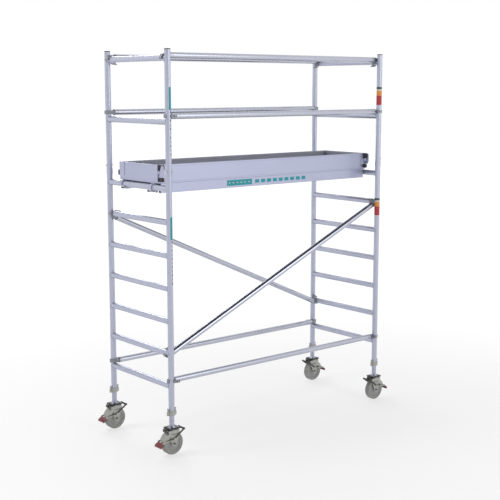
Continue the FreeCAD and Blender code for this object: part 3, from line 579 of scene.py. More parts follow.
def rectangle(left, right, low, high):
    """An upright rectangle as a flat outline."""
    return [(left, low), (right, low), (right, high), (left, high)]


def raised(outline, height):
    """A flat outline moved up."""
    return [(u, height + v) for u, v in outline]


def mirrored(section):
    """A lathe section closed by its mirror image on the far side of the middle."""
    return section + [(-along, radius) for along, radius in reversed(section)]


# ---- Geometry Nodes ----
class Tree:
    """A Geometry Nodes tree in the making, with named inputs."""

    def __init__(self, name, inputs):
        self.tree = bpy.data.node_groups.new(name, "GeometryNodeTree")
        face = self.tree.interface
        face.new_socket("Geometry", in_out="INPUT", socket_type="NodeSocketGeometry")
        face.new_socket("Geometry", in_out="OUTPUT", socket_type="NodeSocketGeometry")
        for label, kind in inputs.items():
            face.new_socket(label, in_out="INPUT", socket_type=f"NodeSocket{kind}")
        self.inputs = self.tree.nodes.new("NodeGroupInput")

    def given(self, label):
        """One of the tree's inputs."""
        return self.inputs.outputs[label]

    def add(self, kind, settings=None, inputs=None, output=0):
        """Adds a node and returns one of its outputs."""
        node = self.tree.nodes.new(kind)
        for key, value in (settings or {}).items():
            setattr(node, key, value)
        for key, value in (inputs or {}).items():
            if isinstance(value, bpy.types.NodeSocket):
                self.tree.links.new(value, node.inputs[key])
            else:
                node.inputs[key].default_value = value
        return node.outputs[output]

    def math(self, operation, first, second=0.0, third=0.0):
        """Adds a Math node."""
        return self.add("ShaderNodeMath", {"operation": operation}, {0: first, 1: second, 2: third})

    def on_seeds(self, instance, axis=None):
        """Ends the tree with the instance on every seed, its axis turned to the way the seed faces."""
        inputs = {"Points": self.given("Geometry"), "Instance": instance}
        if axis:
            way = self.add("GeometryNodeInputNamedAttribute", {"data_type": "FLOAT_VECTOR"},
                           {"Name": "facing"})
            inputs["Rotation"] = self.add("FunctionNodeAlignRotationToVector", {"axis": axis},
                                          {"Vector": way})
        copies = self.add("GeometryNodeInstanceOnPoints", inputs=inputs)
        real = self.add("GeometryNodeRealizeInstances", inputs={"Geometry": copies})
        painted = self.add("GeometryNodeSetMaterial", inputs={
            "Geometry": real, "Material": self.given("Material")})
        end = self.tree.nodes.new("NodeGroupOutput")
        self.tree.links.new(painted, end.inputs["Geometry"])
        return self.tree


def grown(tree, seeds, values):
    """The plain mesh that a tree makes on seed points, each with the way it faces."""
    mesh = bpy.data.meshes.new("seeds")
    mesh.from_pydata([place for place, _ in seeds], [], [])
    facing = mesh.attributes.new("facing", "FLOAT_VECTOR", "POINT")
    facing.data.foreach_set("vector", [number for _, way in seeds for number in way])
    carrier = bpy.data.objects.new("carrier", mesh)
    bpy.context.scene.collection.objects.link(carrier)
    modifier = carrier.modifiers.new("grow", "NODES")
    modifier.node_group = tree
    sockets = {item.name: item.identifier for item in tree.interface.items_tree if item.in_out == "INPUT"}
    for label, value in values.items():
        modifier[sockets[label]] = value
    graph = bpy.context.evaluated_depsgraph_get()
    result = bpy.data.meshes.new_from_object(carrier.evaluated_get(graph))
    carrier.modifiers.remove(modifier)
    bpy.data.objects.remove(carrier)
    return result


def rivet_tree():
    """A low dome on each seed, standing the way the seed faces."""
    tree = Tree("rivet_heads", {"Radius": "Float", "Height": "Float", "Material": "Material"})
    dome = tree.add("GeometryNodeMeshUVSphere", inputs={"Segments": 12, "Rings": 8, "Radius": 1.0})
    size = tree.add("ShaderNodeCombineXYZ", inputs={
        0: tree.given("Radius"), 1: tree.given("Radius"), 2: tree.given("Height")})
    head = tree.add("GeometryNodeTransform", inputs={"Geometry": dome, "Scale": size})
    return tree.on_seeds(head, "Z")


def weld_tree():
    """A rippled weld bead on the line where a rung meets a post, on each seed."""
    tree = Tree("weld_beads", {
        "Tube radius": "Float", "Bead radius": "Float", "Ripples": "Float", "Material": "Material"})
    steps = 96
    ring = tree.add("GeometryNodeCurvePrimitiveCircle", inputs={
        "Resolution": steps, "Radius": tree.given("Tube radius")})
    index = tree.add("GeometryNodeInputIndex")
    turn = tree.math("MULTIPLY", index, 2 * math.pi / steps)
    cosine = tree.math("COSINE", turn)
    sine = tree.math("SINE", turn)
    depth = tree.math("ABSOLUTE", sine)
    scaled = [tree.math("MULTIPLY", part, tree.given("Tube radius")) for part in (cosine, depth, sine)]
    saddle = tree.add("ShaderNodeCombineXYZ", inputs=dict(enumerate(scaled)))
    seam = tree.add("GeometryNodeSetPosition", inputs={"Geometry": ring, "Position": saddle})
    ripple = tree.math("SINE", tree.math("MULTIPLY", turn, tree.given("Ripples")))
    swell = tree.math("MULTIPLY_ADD", ripple, 0.16, 1.0)
    profile = tree.add("GeometryNodeCurvePrimitiveCircle", inputs={
        "Resolution": 6, "Radius": tree.given("Bead radius")})
    bead = tree.add("GeometryNodeCurveToMesh", inputs={
        "Curve": seam, "Profile Curve": profile, "Scale": swell})
    return tree.on_seeds(bead, "Y")


def thread_tree():
    """A rounded thread that climbs from each seed."""
    tree = Tree("jack_thread", {
        "Core radius": "Float", "Crest": "Float", "Pitch": "Float", "Turns": "Float",
        "Material": "Material"})
    core = tree.given("Core radius")
    turns = tree.given("Turns")
    helix = tree.add("GeometryNodeCurveSpiral", inputs={
        "Resolution": 36, "Rotations": turns, "Start Radius": core, "End Radius": core,
        "Height": tree.math("MULTIPLY", tree.given("Pitch"), turns)})
    profile = tree.add("GeometryNodeCurvePrimitiveCircle", inputs={
        "Resolution": 6, "Radius": tree.given("Crest")})
    thread = tree.add("GeometryNodeCurveToMesh", inputs={
        "Curve": helix, "Profile Curve": profile, "Fill Caps": True})
    return tree.on_seeds(thread)


def rib_tree():
    """Box ribs spread round a wheel centre, on each seed."""
    tree = Tree("wheel_ribs", {
        "Count": "Int", "Inner": "Float", "Outer": "Float", "Width": "Float", "Depth": "Float",
        "Material": "Material"})
    span = tree.math("SUBTRACT", tree.given("Outer"), tree.given("Inner"))
    size = tree.add("ShaderNodeCombineXYZ", inputs={
        0: span, 1: tree.given("Width"), 2: tree.given("Depth")})
    block = tree.add("GeometryNodeMeshCube", inputs={"Size": size})
    middle = tree.math("MULTIPLY_ADD", span, 0.5, tree.given("Inner"))
    out = tree.add("ShaderNodeCombineXYZ", inputs={0: middle})
    rib = tree.add("GeometryNodeTransform", inputs={"Geometry": block, "Translation": out})
    ring = tree.add("GeometryNodeMeshCircle", inputs={"Vertices": tree.given("Count"), "Radius": 0.0001})
    part = tree.math("DIVIDE", tree.add("GeometryNodeInputIndex"), tree.given("Count"))
    angles = tree.add("ShaderNodeCombineXYZ", inputs={2: tree.math("MULTIPLY", part, 2 * math.pi)})
    star = tree.add("GeometryNodeInstanceOnPoints", inputs={
        "Points": ring, "Instance": rib, "Rotation": angles})
    return tree.on_seeds(star, "Z")


def grow(name, tree, seeds, finish, values, **kept):
    """A finished piece that a tree grows on its seeds."""
    mesh = grown(TREES[tree], seeds, {**values, "Material": FINISHES[finish]})
    finished(name, mesh, finish, **kept)


def rivets(name, seeds, body="root", slot="zinc_steel", radius=None, height=0.0022):
    """A group of rivet or screw heads."""
    values = {"Radius": radius or sizes().rivet_radius, "Height": height}
    grow(name, "rivet", seeds, "bright_zinc", values, body=body, slot=slot)


# ---- Shared work of the steps ----
def outward(corner):
    """-1 for a post of the left frame and 1 for one of the right frame."""
    return -1 if corner.endswith("left") else 1


def beside(corner):
    """Turns castor measures (outwards, up, across) into a point by that post."""
    post = POSTS[corner]
    side = outward(corner)
    return lambda out, up, across: Vector((post.x + side * out, post.y + side * across, up))


def paint(start, finish):
    """Gives every carried-over node whose name starts so its finish."""
    for name, node in nodes.items():
        if name.startswith(start):
            node.material_slots[0].material = FINISHES[finish]


def brace_lines():
    """Every rail and diagonal as the two ends of its tube."""
    lines = []
    for name in ("base_rails", "guardrail_mids", "guardrail_tops"):
        low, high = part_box(name)
        for row, height in ((-1, low.z + POST_RADIUS), (1, high.z - POST_RADIUS)):
            across = row * (high.y - POST_RADIUS)
            lines.append((Vector((low.x, across, height)), Vector((high.x, across, height))))
    low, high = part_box("diagonals")
    inset = POST_RADIUS * 0.906
    drop = POST_RADIUS * 0.424
    for row in (-1, 1):
        across = row * (high.y - POST_RADIUS)
        start = Vector((low.x + drop, across, (low.z + inset) if row < 0 else (high.z - inset)))
        end = Vector((high.x - drop, across, (high.z - inset) if row < 0 else (low.z + inset)))
        lines.append((start, end))
    return lines


# ---- Operators ----
class Step(bpy.types.Operator):
    """Base of the operators: runs make() and reports that it is done."""

    bl_options = {"REGISTER", "UNDO"}

    def execute(self, context):
        self.make()
        return {"FINISHED"}


class TOWER_OT_stage(Step):
    """Adds the floor, the soft studio light and the camera"""

    bl_idname = "tower.stage"
    bl_label = "Stage"

    def make(self):
        scene = bpy.context.scene
        camera = bpy.data.objects.new("camera", bpy.data.cameras.new("camera"))
        camera.data.lens = CAMERA_LENS
        camera.data.sensor_width = 36.0
        camera.data.clip_end = 200.0
        camera.location = CAMERA_PLACE
        camera.rotation_euler = Euler((math.radians(90 - CAMERA_DOWN), 0.0, math.radians(CAMERA_TURN)))
        scene.collection.objects.link(camera)
        scene.camera = camera
        scene.view_settings.view_transform = "Standard"
        self.add_floor()
        self.add_sky()
        for light in LIGHTS:
            self.add_light(*light)

    def add_floor(self):
        """A wide pale floor that glows as painted light: about half white near the tower, which softens its
        shadows, and fully white far off, where it fades into the backdrop.
        """
        shape = bmesh.new()
        bmesh.ops.create_circle(shape, cap_ends=True, segments=64, radius=60.0)
        mesh = bpy.data.meshes.new("floor")
        shape.to_mesh(mesh)
        shape.free()
        floor = bpy.data.objects.new("floor", mesh)
        bpy.context.scene.collection.objects.link(floor)
        finish = Finish("studio_floor")
        clouds = finish.noise(0.8, 3.0)
        distance = finish.node("ShaderNodeVectorMath", {"operation": "LENGTH"}, {0: finish.place()},
                               "Value")
        far = finish.ramp(distance, -6.5, 6.0)
        near = finish.shaded((0.93, 0.93, 0.93, 1.0), 0.985, 1.0, clouds)
        # painted light: the emission brightens the floor round the tower and weakens the shadows on it
        mesh.materials.append(finish.done(
            Base_Color=finish.mix(far, near, BLACK), Roughness=0.75, Emission_Strength=1.0,
            Emission_Color=finish.mix(far, BLACK, WHITE)))

    def add_sky(self):
        """A white backdrop, with a dark ceiling over the front left in what the metal reflects."""
        world = bpy.data.worlds.new("studio")
        bpy.context.scene.world = world
        world.use_nodes = True
        tree = world.node_tree
        tree.nodes.clear()
        way = tree.nodes.new("ShaderNodeTexCoord")
        toward = tree.nodes.new("ShaderNodeVectorMath")
        toward.operation = "DOT_PRODUCT"
        toward.inputs[1].default_value = DARK_SKY
        tree.links.new(way.outputs["Generated"], toward.inputs[0])
        ramp = tree.nodes.new("ShaderNodeMapRange")
        for label, number in (("From Min", 0.53), ("From Max", 0.66), ("To Min", 1.0), ("To Max", 0.02)):
            ramp.inputs[label].default_value = number
        tree.links.new(toward.outputs["Value"], ramp.inputs["Value"])
        path = tree.nodes.new("ShaderNodeLightPath")
        seen = tree.nodes.new("ShaderNodeMath")
        seen.operation = "MAXIMUM"
        tree.links.new(path.outputs["Is Camera Ray"], seen.inputs[0])
        tree.links.new(ramp.outputs["Result"], seen.inputs[1])
        light = tree.nodes.new("ShaderNodeBackground")
        light.inputs["Color"].default_value = WHITE
        tree.links.new(seen.outputs[0], light.inputs["Strength"])
        end = tree.nodes.new("ShaderNodeOutputWorld")
        tree.links.new(light.outputs[0], end.inputs["Surface"])

    def add_light(self, name, place, size, power):
        """A soft square lamp that faces the middle of the tower."""
        lamp = bpy.data.lights.new(name, "AREA")
        lamp.size = size
        lamp.energy = power
        holder = bpy.data.objects.new(name, lamp)
        holder.location = place
        holder.rotation_euler = (LIGHT_TARGET - Vector(place)).to_track_quat("-Z", "Y").to_euler()
        bpy.context.scene.collection.objects.link(holder)


class TOWER_OT_finishes(Step):
    """Makes the finishes and gives them to the carried-over nodes"""

    bl_idname = "tower.finishes"
    bl_label = "Finishes"

    def make(self):
        FINISHES.update({
            "frame": drawn_aluminium("frame_tube", colour("frame"), ladder_lines),
            "rail": drawn_aluminium("rail_tube", colour("brace"), lines_along((2.0, 380.0, 380.0)),
                                    0.9, 0.24),
            "diagonal": drawn_aluminium("diagonal_tube", colour("brace"), lines_along((3.0, 380.0, 3.0)),
                                        0.95, 0.2),
            "beam": drawn_aluminium("beam_profile", colour("platform"), board_lines, 0.7, 0.36),
            "toe_board": toe_board_finish(),
            "cast": cast_finish(),
            "zinc": zinc_finish("zinc_plate", colour("zinc")),
            # dark zinc for the axle nuts, painted shadow for the strip under the fork's hood
            "dark_zinc_and_painted_shadow": zinc_finish("dark_zinc_and_painted_shadow", TONES["dark zinc and painted shadow"], 160.0),
            "bright_zinc": zinc_finish("bright_zinc", TONES["bright zinc"], 160.0),
            "jack": jack_finish(),
            "rocker": rocker_finish(),
            "wind_lock": wind_lock_finish(),
            "plastic": plastic_finish("black_moulding", colour("plastic")),
            "wheel": plastic_finish("wheel_centre", colour("wheel"), 0.5),
            "pedal": plastic_finish("red_pedal", colour("pedal"), 0.38),
            "tyre": tyre_finish(),
            "deck": deck_finish(),
            "teal": label_finish("teal_label", colour("teal")),
            "ink": label_finish("dark_label", TONES["ink"]),
            "cream": label_finish("cream_label", TONES["cream"]),
            "amber": label_finish("amber_label", TONES["amber"]),
            "red": label_finish("red_label", TONES["red"]),
        })
        for start, finish in (
                ("ladder_frame", "frame"), ("guard_frame", "frame"), ("spigots", "frame"),
                ("guardrail_", "rail"), ("base_rails", "rail"), ("diagonals", "diagonal"),
                ("brace_claws", "cast"), ("platform_hooks", "beam"), ("platform_frame", "beam"),
                ("toe_board", "toe_board"), ("deck_panels", "deck"), ("hatch", "deck"),
                ("hatch_hinges", "bright_zinc"), ("hatch_latch", "bright_zinc"),
                ("lock_clips", "bright_zinc"), ("post_caps", "plastic"), ("trigger_", "cast"),
                ("wind_lock_", "wind_lock"), ("jack_nut_", "zinc"), ("jack_screw_", "jack"),
                ("caster_fork_", "zinc"), ("brake_rocker_", "rocker"), ("caster_wheel_", "tyre")):
            paint(start, finish)
        TREES.update(rivet=rivet_tree(), weld=weld_tree(), thread=thread_tree(), ribs=rib_tree())


class TOWER_OT_welds(Step):
    """Runs a weld bead round the end of every rung"""

    bl_idname = "tower.welds"
    bl_label = "Weld beads"

    def make(self):
        size = sizes()
        ladder = [LADDER_FOOT + size.first_rung + k * size.rung_pitch for k in range(size.rung_count)]
        guard = [GUARD_LOW.z + size.mid_rung, GUARD_HIGH.z - size.top_rung]
        bead_lift = 0.0010      # keeps the beads out of the bore, where the jack thread passes
        for name, heights in (("ladder_welds", ladder), ("guard_welds", guard)):
            seeds = [
                ((x, row * POST_Y, z), (0.0, -row, 0.0))
                for x in (-POST_X, POST_X) for z in heights for row in (-1, 1)]
            values = {
                "Tube radius": POST_RADIUS + bead_lift, "Bead radius": size.weld_radius, "Ripples": 19.0}
            grow(name, "weld", seeds, "frame", values, slot="frame_aluminium", sharp=80.0)


class TOWER_OT_jacks(Step):
    """Cuts the thread of every height jack"""

    bl_idname = "tower.jacks"
    bl_label = "Jack threads"

    def make(self):
        size = sizes()
        crest = 0.0016
        root = STEM_RADIUS + size.thread_crest - crest
        foot = FLANGE_TOP + NECK_HEIGHT + 0.002
        values = {"Core radius": root, "Crest": crest, "Pitch": size.thread_pitch, "Turns": 42.0}
        for corner, post in POSTS.items():
            seeds = [((post.x, post.y, foot), (0.0, 0.0, 1.0))]
            grow(f"jack_thread_{corner}", "thread", seeds, "jack", values, body=f"jack_screw_{corner}",
                 slot="jack_steel", sharp=80.0)


class TOWER_OT_wheels(Step):
    """Makes the tyres and the ribbed wheel centres"""

    bl_idname = "tower.wheels"
    bl_label = "Wheels"

    def make(self):
        for corner in CORNERS:
            body = f"caster_wheel_{corner}"
            low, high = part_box(body)
            middle = (low + high) / 2
            shape = bmesh.new()
            add_lathe(shape, self.tyre_profile(), middle, (0, 1, 0), 96)
            finished(f"tyre_{corner}", closed(shape), "tyre", body, "grey_tyre", (body,), 30.0)
            shape = bmesh.new()
            add_lathe(shape, self.centre_profile(), middle, (0, 1, 0), 72)
            finished(f"wheel_centre_{corner}", closed(shape), "wheel", body, "grey_tyre")
            values = {"Count": sizes().wheel_ribs, "Inner": 0.032, "Outer": 0.072, "Width": 0.0045,
                      "Depth": 0.038}
            grow(f"wheel_ribs_{corner}", "ribs", [(tuple(middle), (0.0, 1.0, 0.0))], "wheel", values,
                 body=body, slot="grey_tyre")

    def tyre_profile(self):
        """Half a tyre section with its shoulder and tread groove, mirrored."""
        half = 0.025
        round_off = 0.0065
        shoulder = arc((half - round_off, WHEEL_RADIUS - round_off), round_off, 0, 90, 5)
        foot = [(half - 0.003, SEAT_RADIUS), (half - 0.0012, SEAT_RADIUS + 0.001),
                (half - 0.0012, SEAT_RADIUS + 0.004), (half, SEAT_RADIUS + 0.0055)]
        groove = [(0.0105, WHEEL_RADIUS), (0.0098, WHEEL_RADIUS - 0.0014),
                  (0.0082, WHEEL_RADIUS - 0.0014), (0.0075, WHEEL_RADIUS)]
        return mirrored(foot + shoulder + groove)

    def centre_profile(self):
        """Half a wheel centre with rim, web and hub, mirrored."""
        return mirrored([
            (HUB_HALF, 0.0102), (HUB_HALF, 0.0175), (HUB_HALF - 0.002, 0.0185),
            (HUB_HALF - 0.002, 0.0240), (HUB_HALF - 0.003, 0.0275), (0.0205, 0.0300),
            (0.0165, 0.0350), (0.0155, 0.0640), (0.0195, 0.0700), (0.0225, 0.0715),
            (0.0232, 0.0735), (0.0225, SEAT_RADIUS + 0.0005)])


class TOWER_OT_castors(Step):
    """Adds pressed ribs, seals, axle nuts and a dark strip of painted shadow to the castor forks"""

    bl_idname = "tower.castors"
    bl_label = "Castor forks"

    def make(self):
        for corner in CORNERS:
            place = beside(corner)
            # the second piece is a dark strip of painted shadow under the edge of the hood
            for name, shape, finish in (
                    ("fork_pressings", self.pressings(place), "zinc"),
                    ("fork_painted_shadow", self.painted_shadow_strip(place), "dark_zinc_and_painted_shadow"),
                    ("axle_nuts", self.nuts(place), "dark_zinc_and_painted_shadow")):
                finished(f"{name}_{corner}", closed(shape), finish, f"caster_fork_{corner}", "zinc_steel")

    def pressings(self, place):
        """Raised pads on both cheeks, a bead under their upper edge and the seal of the race."""
        pad = ((0.010, 0.126), (0.019, 0.128), (0.034, 0.176), (0.029, 0.182), (0.014, 0.178))
        bead_height = 0.1875
        seal = ((0.0005, 0.0335), (0.0005, 0.0352), (0.0030, 0.0358), (0.0035, 0.0345),
                (0.0065, 0.0345), (0.0070, 0.0335))
        shape = bmesh.new()
        for sign in (-1, 1):
            face = sign * FORK_HALF
            for lean in (-1, 1):
                outline = [(lean * out, up) for out, up in pad]
                add_bar(shape, outline, face - sign * 0.0005, face + sign * 0.0011, place, 0.0008, 2)
            bead = [place(out, bead_height, face) for out in (-0.0545, -0.040, 0.0, 0.040, 0.0545)]
            add_tube(shape, bead, 0.0014, 8)
        ring = [(RACE_LOW + rise, radius) for rise, radius in seal]
        add_lathe(shape, ring, place(0.0, 0.0, 0.0), (0, 0, 1), 64)
        return shape

    def painted_shadow_strip(self, place):
        """A dark strip of painted shadow along the upper edge of both cheeks, where the hood's edge shades
        the fork, that turns down over the tyre.
        """
        crown = (0.0, AXLE_HEIGHT)
        upper = [(-0.0535, 0.1885), (0.020, 0.1885)] + arc(crown, 0.0715, 66, 20, 8)
        lower = arc(crown, 0.0645, 20, 66, 8) + [(0.018, 0.1800), (-0.0535, 0.1800)]
        shape = bmesh.new()
        for sign in (-1, 1):
            add_bar(shape, upper + lower, sign * (FORK_HALF - 0.0004), sign * (FORK_HALF + 0.0009), place)
        return shape

    def nuts(self, place):
        """A hexagon nut and the end of the axle on both cheeks."""
        corners = [math.radians(60 * k + 15) for k in range(6)]
        hexagon = [(0.0105 * math.cos(a), AXLE_HEIGHT + 0.0105 * math.sin(a)) for a in corners]
        end = solid_profile(0.0024, 0.0055, 0.0008)
        shape = bmesh.new()
        for sign in (-1, 1):
            add_bar(shape, hexagon, sign * 0.0415, sign * 0.0448, place, 0.0007, 2)
            add_lathe(shape, end, place(0.0, AXLE_HEIGHT, sign * 0.0438), (0, 1, 0), 24)
        return shape


class TOWER_OT_brakes(Step):
    """Makes the red pedal pads, their black soles and the sleeves of the release bars"""

    bl_idname = "tower.brakes"
    bl_label = "Brake pedals"

    def make(self):
        run = (PEDAL_OUTER - PEDAL_INNER).normalized()
        up = Vector((-run.y, run.x))
        length = (PEDAL_OUTER - PEDAL_INNER).length

        def outlined(*points):
            """Points (along the pedal, up from its middle) as a flat outline."""
            return [tuple(PEDAL_INNER + run * along + up * rise) for along, rise in points]

        for corner in CORNERS:
            body = f"brake_rocker_{corner}"
            place = beside(corner)
            shape = bmesh.new()
            pad = outlined(
                (0.002, -0.0045), (0.002, 0.0058), (0.010, 0.0068), (length * 0.6, 0.0075),
                (length - 0.003, 0.0062), (length + 0.0012, 0.0020), (length + 0.0012, -0.0045))
            add_bar(shape, pad, -ARM_INNER + 0.0004, ARM_INNER - 0.0004, place, 0.0014, 3)
            nose = outlined((0.016, -0.0045), (0.016, 0.0062), (length * 0.6, 0.0078)) + pad[4:]
            add_bar(shape, nose, -0.0445, 0.0445, place, 0.0016, 3)
            for k in range(5):
                start = 0.018 + k * 0.0066
                grip = outlined((start, 0.0062), (start + 0.0008, 0.0092), (start + 0.0024, 0.0092),
                                (start + 0.0032, 0.0062))
                add_bar(shape, grip, -0.036, 0.036, place, 0.0005, 2)
            finished(f"pedal_pad_{corner}", closed(shape), "pedal", body, "zinc_steel")
            shape = bmesh.new()
            sole = outlined((0.003, -0.0040), (length + 0.0008, -0.0040), (length - 0.002, -0.0110),
                            (0.014, -0.0150), (0.003, -0.0100))
            add_bar(shape, sole, -0.0372, 0.0372, place, 0.0012, 3)
            tread = outlined((0.017, -0.0040), (length + 0.0008, -0.0040), (length - 0.002, -0.0105),
                             (0.024, -0.0125))
            add_bar(shape, tread, -0.0440, 0.0440, place, 0.0014, 3)
            for sign in (-1, 1):
                middle = place(RELEASE_BAR.x, RELEASE_BAR.y, sign * 0.0405)
                add_lathe(shape, solid_profile(0.0045, 0.0098, 0.0018), middle, (0, 1, 0), 32)
            for k in range(-3, 4):
                middle = place(RELEASE_BAR.x, RELEASE_BAR.y, k * 0.009)
                add_lathe(shape, solid_profile(0.0036, 0.0082, 0.0009), middle, (0, 1, 0), 28)
            finished(f"pedal_sole_{corner}", closed(shape), "plastic", body, "black_plastic")


class TOWER_OT_braces(Step):
    """Rivets the claws into the ends of the rails and diagonals"""

    bl_idname = "tower.braces"
    bl_label = "Brace rivets"

    def make(self):
        seeds = []
        for start, end in brace_lines():
            along = (end - start).normalized()
            across = Vector((0.0, 1.0, 0.0))
            for tip, way in ((start, along), (end, -along)):
                for reach in (0.013, 0.030):
                    for sign in (-1, 1):
                        face = across * sign
                        seeds.append((tuple(tip + way * reach + face * (POST_RADIUS - 0.0002)), tuple(face)))
        rivets("brace_rivets", seeds, slot="cast_aluminium")


class TOWER_OT_toe_boards(Step):
    """Extrudes the toe boards and adds their corner gussets and clips"""

    bl_idname = "tower.toe_boards"
    bl_label = "Toe boards"

    def make(self):
        shape = bmesh.new()
        for row in (-1, 1):
            outline = self.section(BEAM_HIGH.z, TOE_HIGH.z)
            add_bar(shape, outline, -TOE_HIGH.x + BOARD_DEPTH, TOE_HIGH.x - BOARD_DEPTH,
                    lambda u, v, w, row=row: Vector((w, row * (TOE_HIGH.y - u), v)))
        end_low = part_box("platform_hooks")[1].z + 0.001
        for side in (-1, 1):
            outline = self.section(end_low, TOE_HIGH.z)
            add_bar(shape, outline, -TOE_HIGH.y, TOE_HIGH.y,
                    lambda u, v, w, side=side: Vector((side * (TOE_HIGH.x - u), w, v)))
        finished("toe_board_profiles", closed(shape), "toe_board", slot="platform_aluminium",
                 replaces=("toe_boards",), sharp=25.0)
        self.add_corners()

    def section(self, low, high):
        """A toe board section (in from its outer face, height): grooved outside, beaded on top."""
        depth = BOARD_DEPTH
        face = raised([(0.0, 0.0012), (0.0, 0.011), (0.0010, 0.012), (0.0010, 0.014), (0.0, 0.015)], low)
        face += raised([(0.0, -0.016), (0.0010, -0.015), (0.0010, -0.013), (0.0, -0.012)], high)
        bead = arc((0.004, high - 0.004), 0.004, 180, 90, 4)
        bead += arc((depth - 0.004, high - 0.004), 0.004, 90, 0, 4)
        back = [(depth, high - 0.020), (depth - 0.0012, high - 0.0212), (depth - 0.0012, low + 0.0212),
                (depth, low + 0.020), (depth, low)]
        return face + bead + back + [(0.0012, low)]

    def add_corners(self):
        """An aluminium gusset between black clips at the front corners, a knob at the back ones."""
        gussets = bmesh.new()
        clips = bmesh.new()
        seeds = []
        right_reach = 0.62      # the right corner stands out less than the left one
        plate_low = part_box("toe_board_corners")[0].z
        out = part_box("toe_board_corners")[1]
        top = TOE_HIGH.z
        for side in (-1, 1):
            def place(u, v, w, side=side):
                """u outwards from the front board, v up, w in from the end face."""
                reach = u if side < 0 else u * right_reach
                return Vector((side * (TOE_HIGH.x - w), -(TOE_HIGH.y + reach), v))

            plate = [(0.003, -0.104), (0.003, -0.092), (0.050, -0.004), (0.074, -0.004),
                     (0.081, -0.012), (0.081, -0.078), (0.060, -0.104)]
            add_bar(gussets, raised(plate, top), 0.004, 0.0080, place, 0.001, 2)
            flange = [(0.0028, -0.104), (0.0028, -0.066), (0.0058, -0.066), (0.0058, -0.104)]
            add_bar(gussets, raised(flange, top), 0.006, 0.046, place, 0.0008, 2)
            upper = [(0.003, top - 0.052), (0.003, top + 0.001)] + arc((0.044, top - 0.011), 0.012, 90, 0, 4)
            upper += [(0.056, top - 0.034), (0.042, top - 0.052)]
            lower = raised([(0.003, -0.142), (0.003, -0.107), (0.046, -0.107), (0.053, -0.114),
                            (0.053, -0.135), (0.046, -0.142)], top)
            for clip in (upper, lower):
                add_bar(clips, clip, 0.0085, 0.034, place, 0.0025, 3)

            def behind(u, v, w, side=side):
                """The same directions at the back board."""
                return Vector((side * (TOE_HIGH.x - w), TOE_HIGH.y + u, v))

            knob = arc((0.013, top - 0.082), 0.011, 90, 0, 4) + arc((0.013, top - 0.108), 0.011, 0, -90, 4)
            knob += [(0.003, top - 0.114), (0.003, top - 0.074)]
            add_bar(clips, knob, -0.005, 0.020, behind, 0.002, 3)
        for side in (-1, 1):
            for row in (-1, 1):
                for height in (plate_low + 0.020, top - 0.020):
                    for reach in (0.022, 0.052):
                        seeds.append(((side * out.x, row * (TOE_HIGH.y - reach), height), (side, 0.0, 0.0)))
                        seeds.append(((side * (TOE_HIGH.x - reach), row * out.y, height), (0.0, row, 0.0)))
        finished("corner_gussets", closed(gussets), "beam", slot="platform_aluminium")
        finished("corner_clips", closed(clips), "plastic", slot="black_plastic")
        rivets("corner_rivets", seeds)


class TOWER_OT_platform(Step):
    """Adds screws to the deck and the hatch, and drip lips, rivets and end caps to the beams"""

    bl_idname = "tower.platform"
    bl_label = "Platform fittings"

    def make(self):
        for name, body, start, end, pitch in (
                ("deck_screws", "root", HATCH_HIGH.x, DECK_HIGH.x, 0.150),
                ("hatch_screws", "hatch", HATCH_LOW.x, HATCH_HIGH.x, 0.135)):
            lines = self.screw_lines(start + SCREW_INSET, end - SCREW_INSET, pitch)
            rivets(name, lines, body, height=0.0012, radius=0.0052)
        self.add_beam_fittings()

    def screw_lines(self, start, end, pitch):
        """Flat screws along both long edges of a board."""
        across = DECK_HIGH.y - 0.014
        count = max(2, round((end - start) / pitch))
        return [
            ((start + (end - start) * k / count, row * across, DECK_HIGH.z), (0.0, 0.0, 1.0))
            for k in range(count + 1) for row in (-1, 1)]

    def add_beam_fittings(self):
        """Drip lips and rivets along the beams, and caps in their ends."""
        lips = bmesh.new()
        caps = bmesh.new()
        height = BEAM_HIGH.z - BEAM_LOW.z
        wall = 0.0022
        for row in (-1, 1):
            for rise in (0.0, height):
                lip = raised([(-0.0002, -0.0030), (0.0011, -0.0022), (0.0013, 0.0), (-0.0002, 0.0)],
                             BEAM_LOW.z + rise)
                if rise == 0.0:
                    lip = [(u, 2 * BEAM_LOW.z - v) for u, v in lip]
                add_bar(lips, lip, BEAM_LOW.x + 0.001, BEAM_HIGH.x - 0.001,
                        lambda u, v, w, row=row: Vector((w, row * (BEAM_HIGH.y + u), v)))
            for side in (-1, 1):
                outline = rectangle(BEAM_HIGH.y - 0.0278, BEAM_HIGH.y - wall,
                                    BEAM_LOW.z + wall, BEAM_HIGH.z - wall)
                add_bar(caps, outline, BEAM_HIGH.x - 0.004, BEAM_HIGH.x + 0.0028,
                        lambda u, v, w, row=row, side=side: Vector((side * w, row * u, v)), 0.0018, 3)
        finished("beam_lips", closed(lips), "beam", slot="platform_aluminium")
        finished("beam_end_caps", closed(caps), "plastic", slot="black_plastic")
        seeds = []
        last = DECK_HIGH.x - SCREW_INSET
        step = (last - HATCH_HIGH.x) / 5
        middles = [HATCH_LOW.x, HATCH_HIGH.x] + [HATCH_HIGH.x + step * k for k in range(1, 5)]
        for x in middles:
            for row in (-1, 1):
                for shift in (-0.010, 0.010):
                    seeds.append(((x + shift, row * BEAM_HIGH.y, BEAM_LOW.z + 0.016), (0.0, row, 0.0)))
        rivets("beam_rivets", seeds, slot="platform_aluminium")


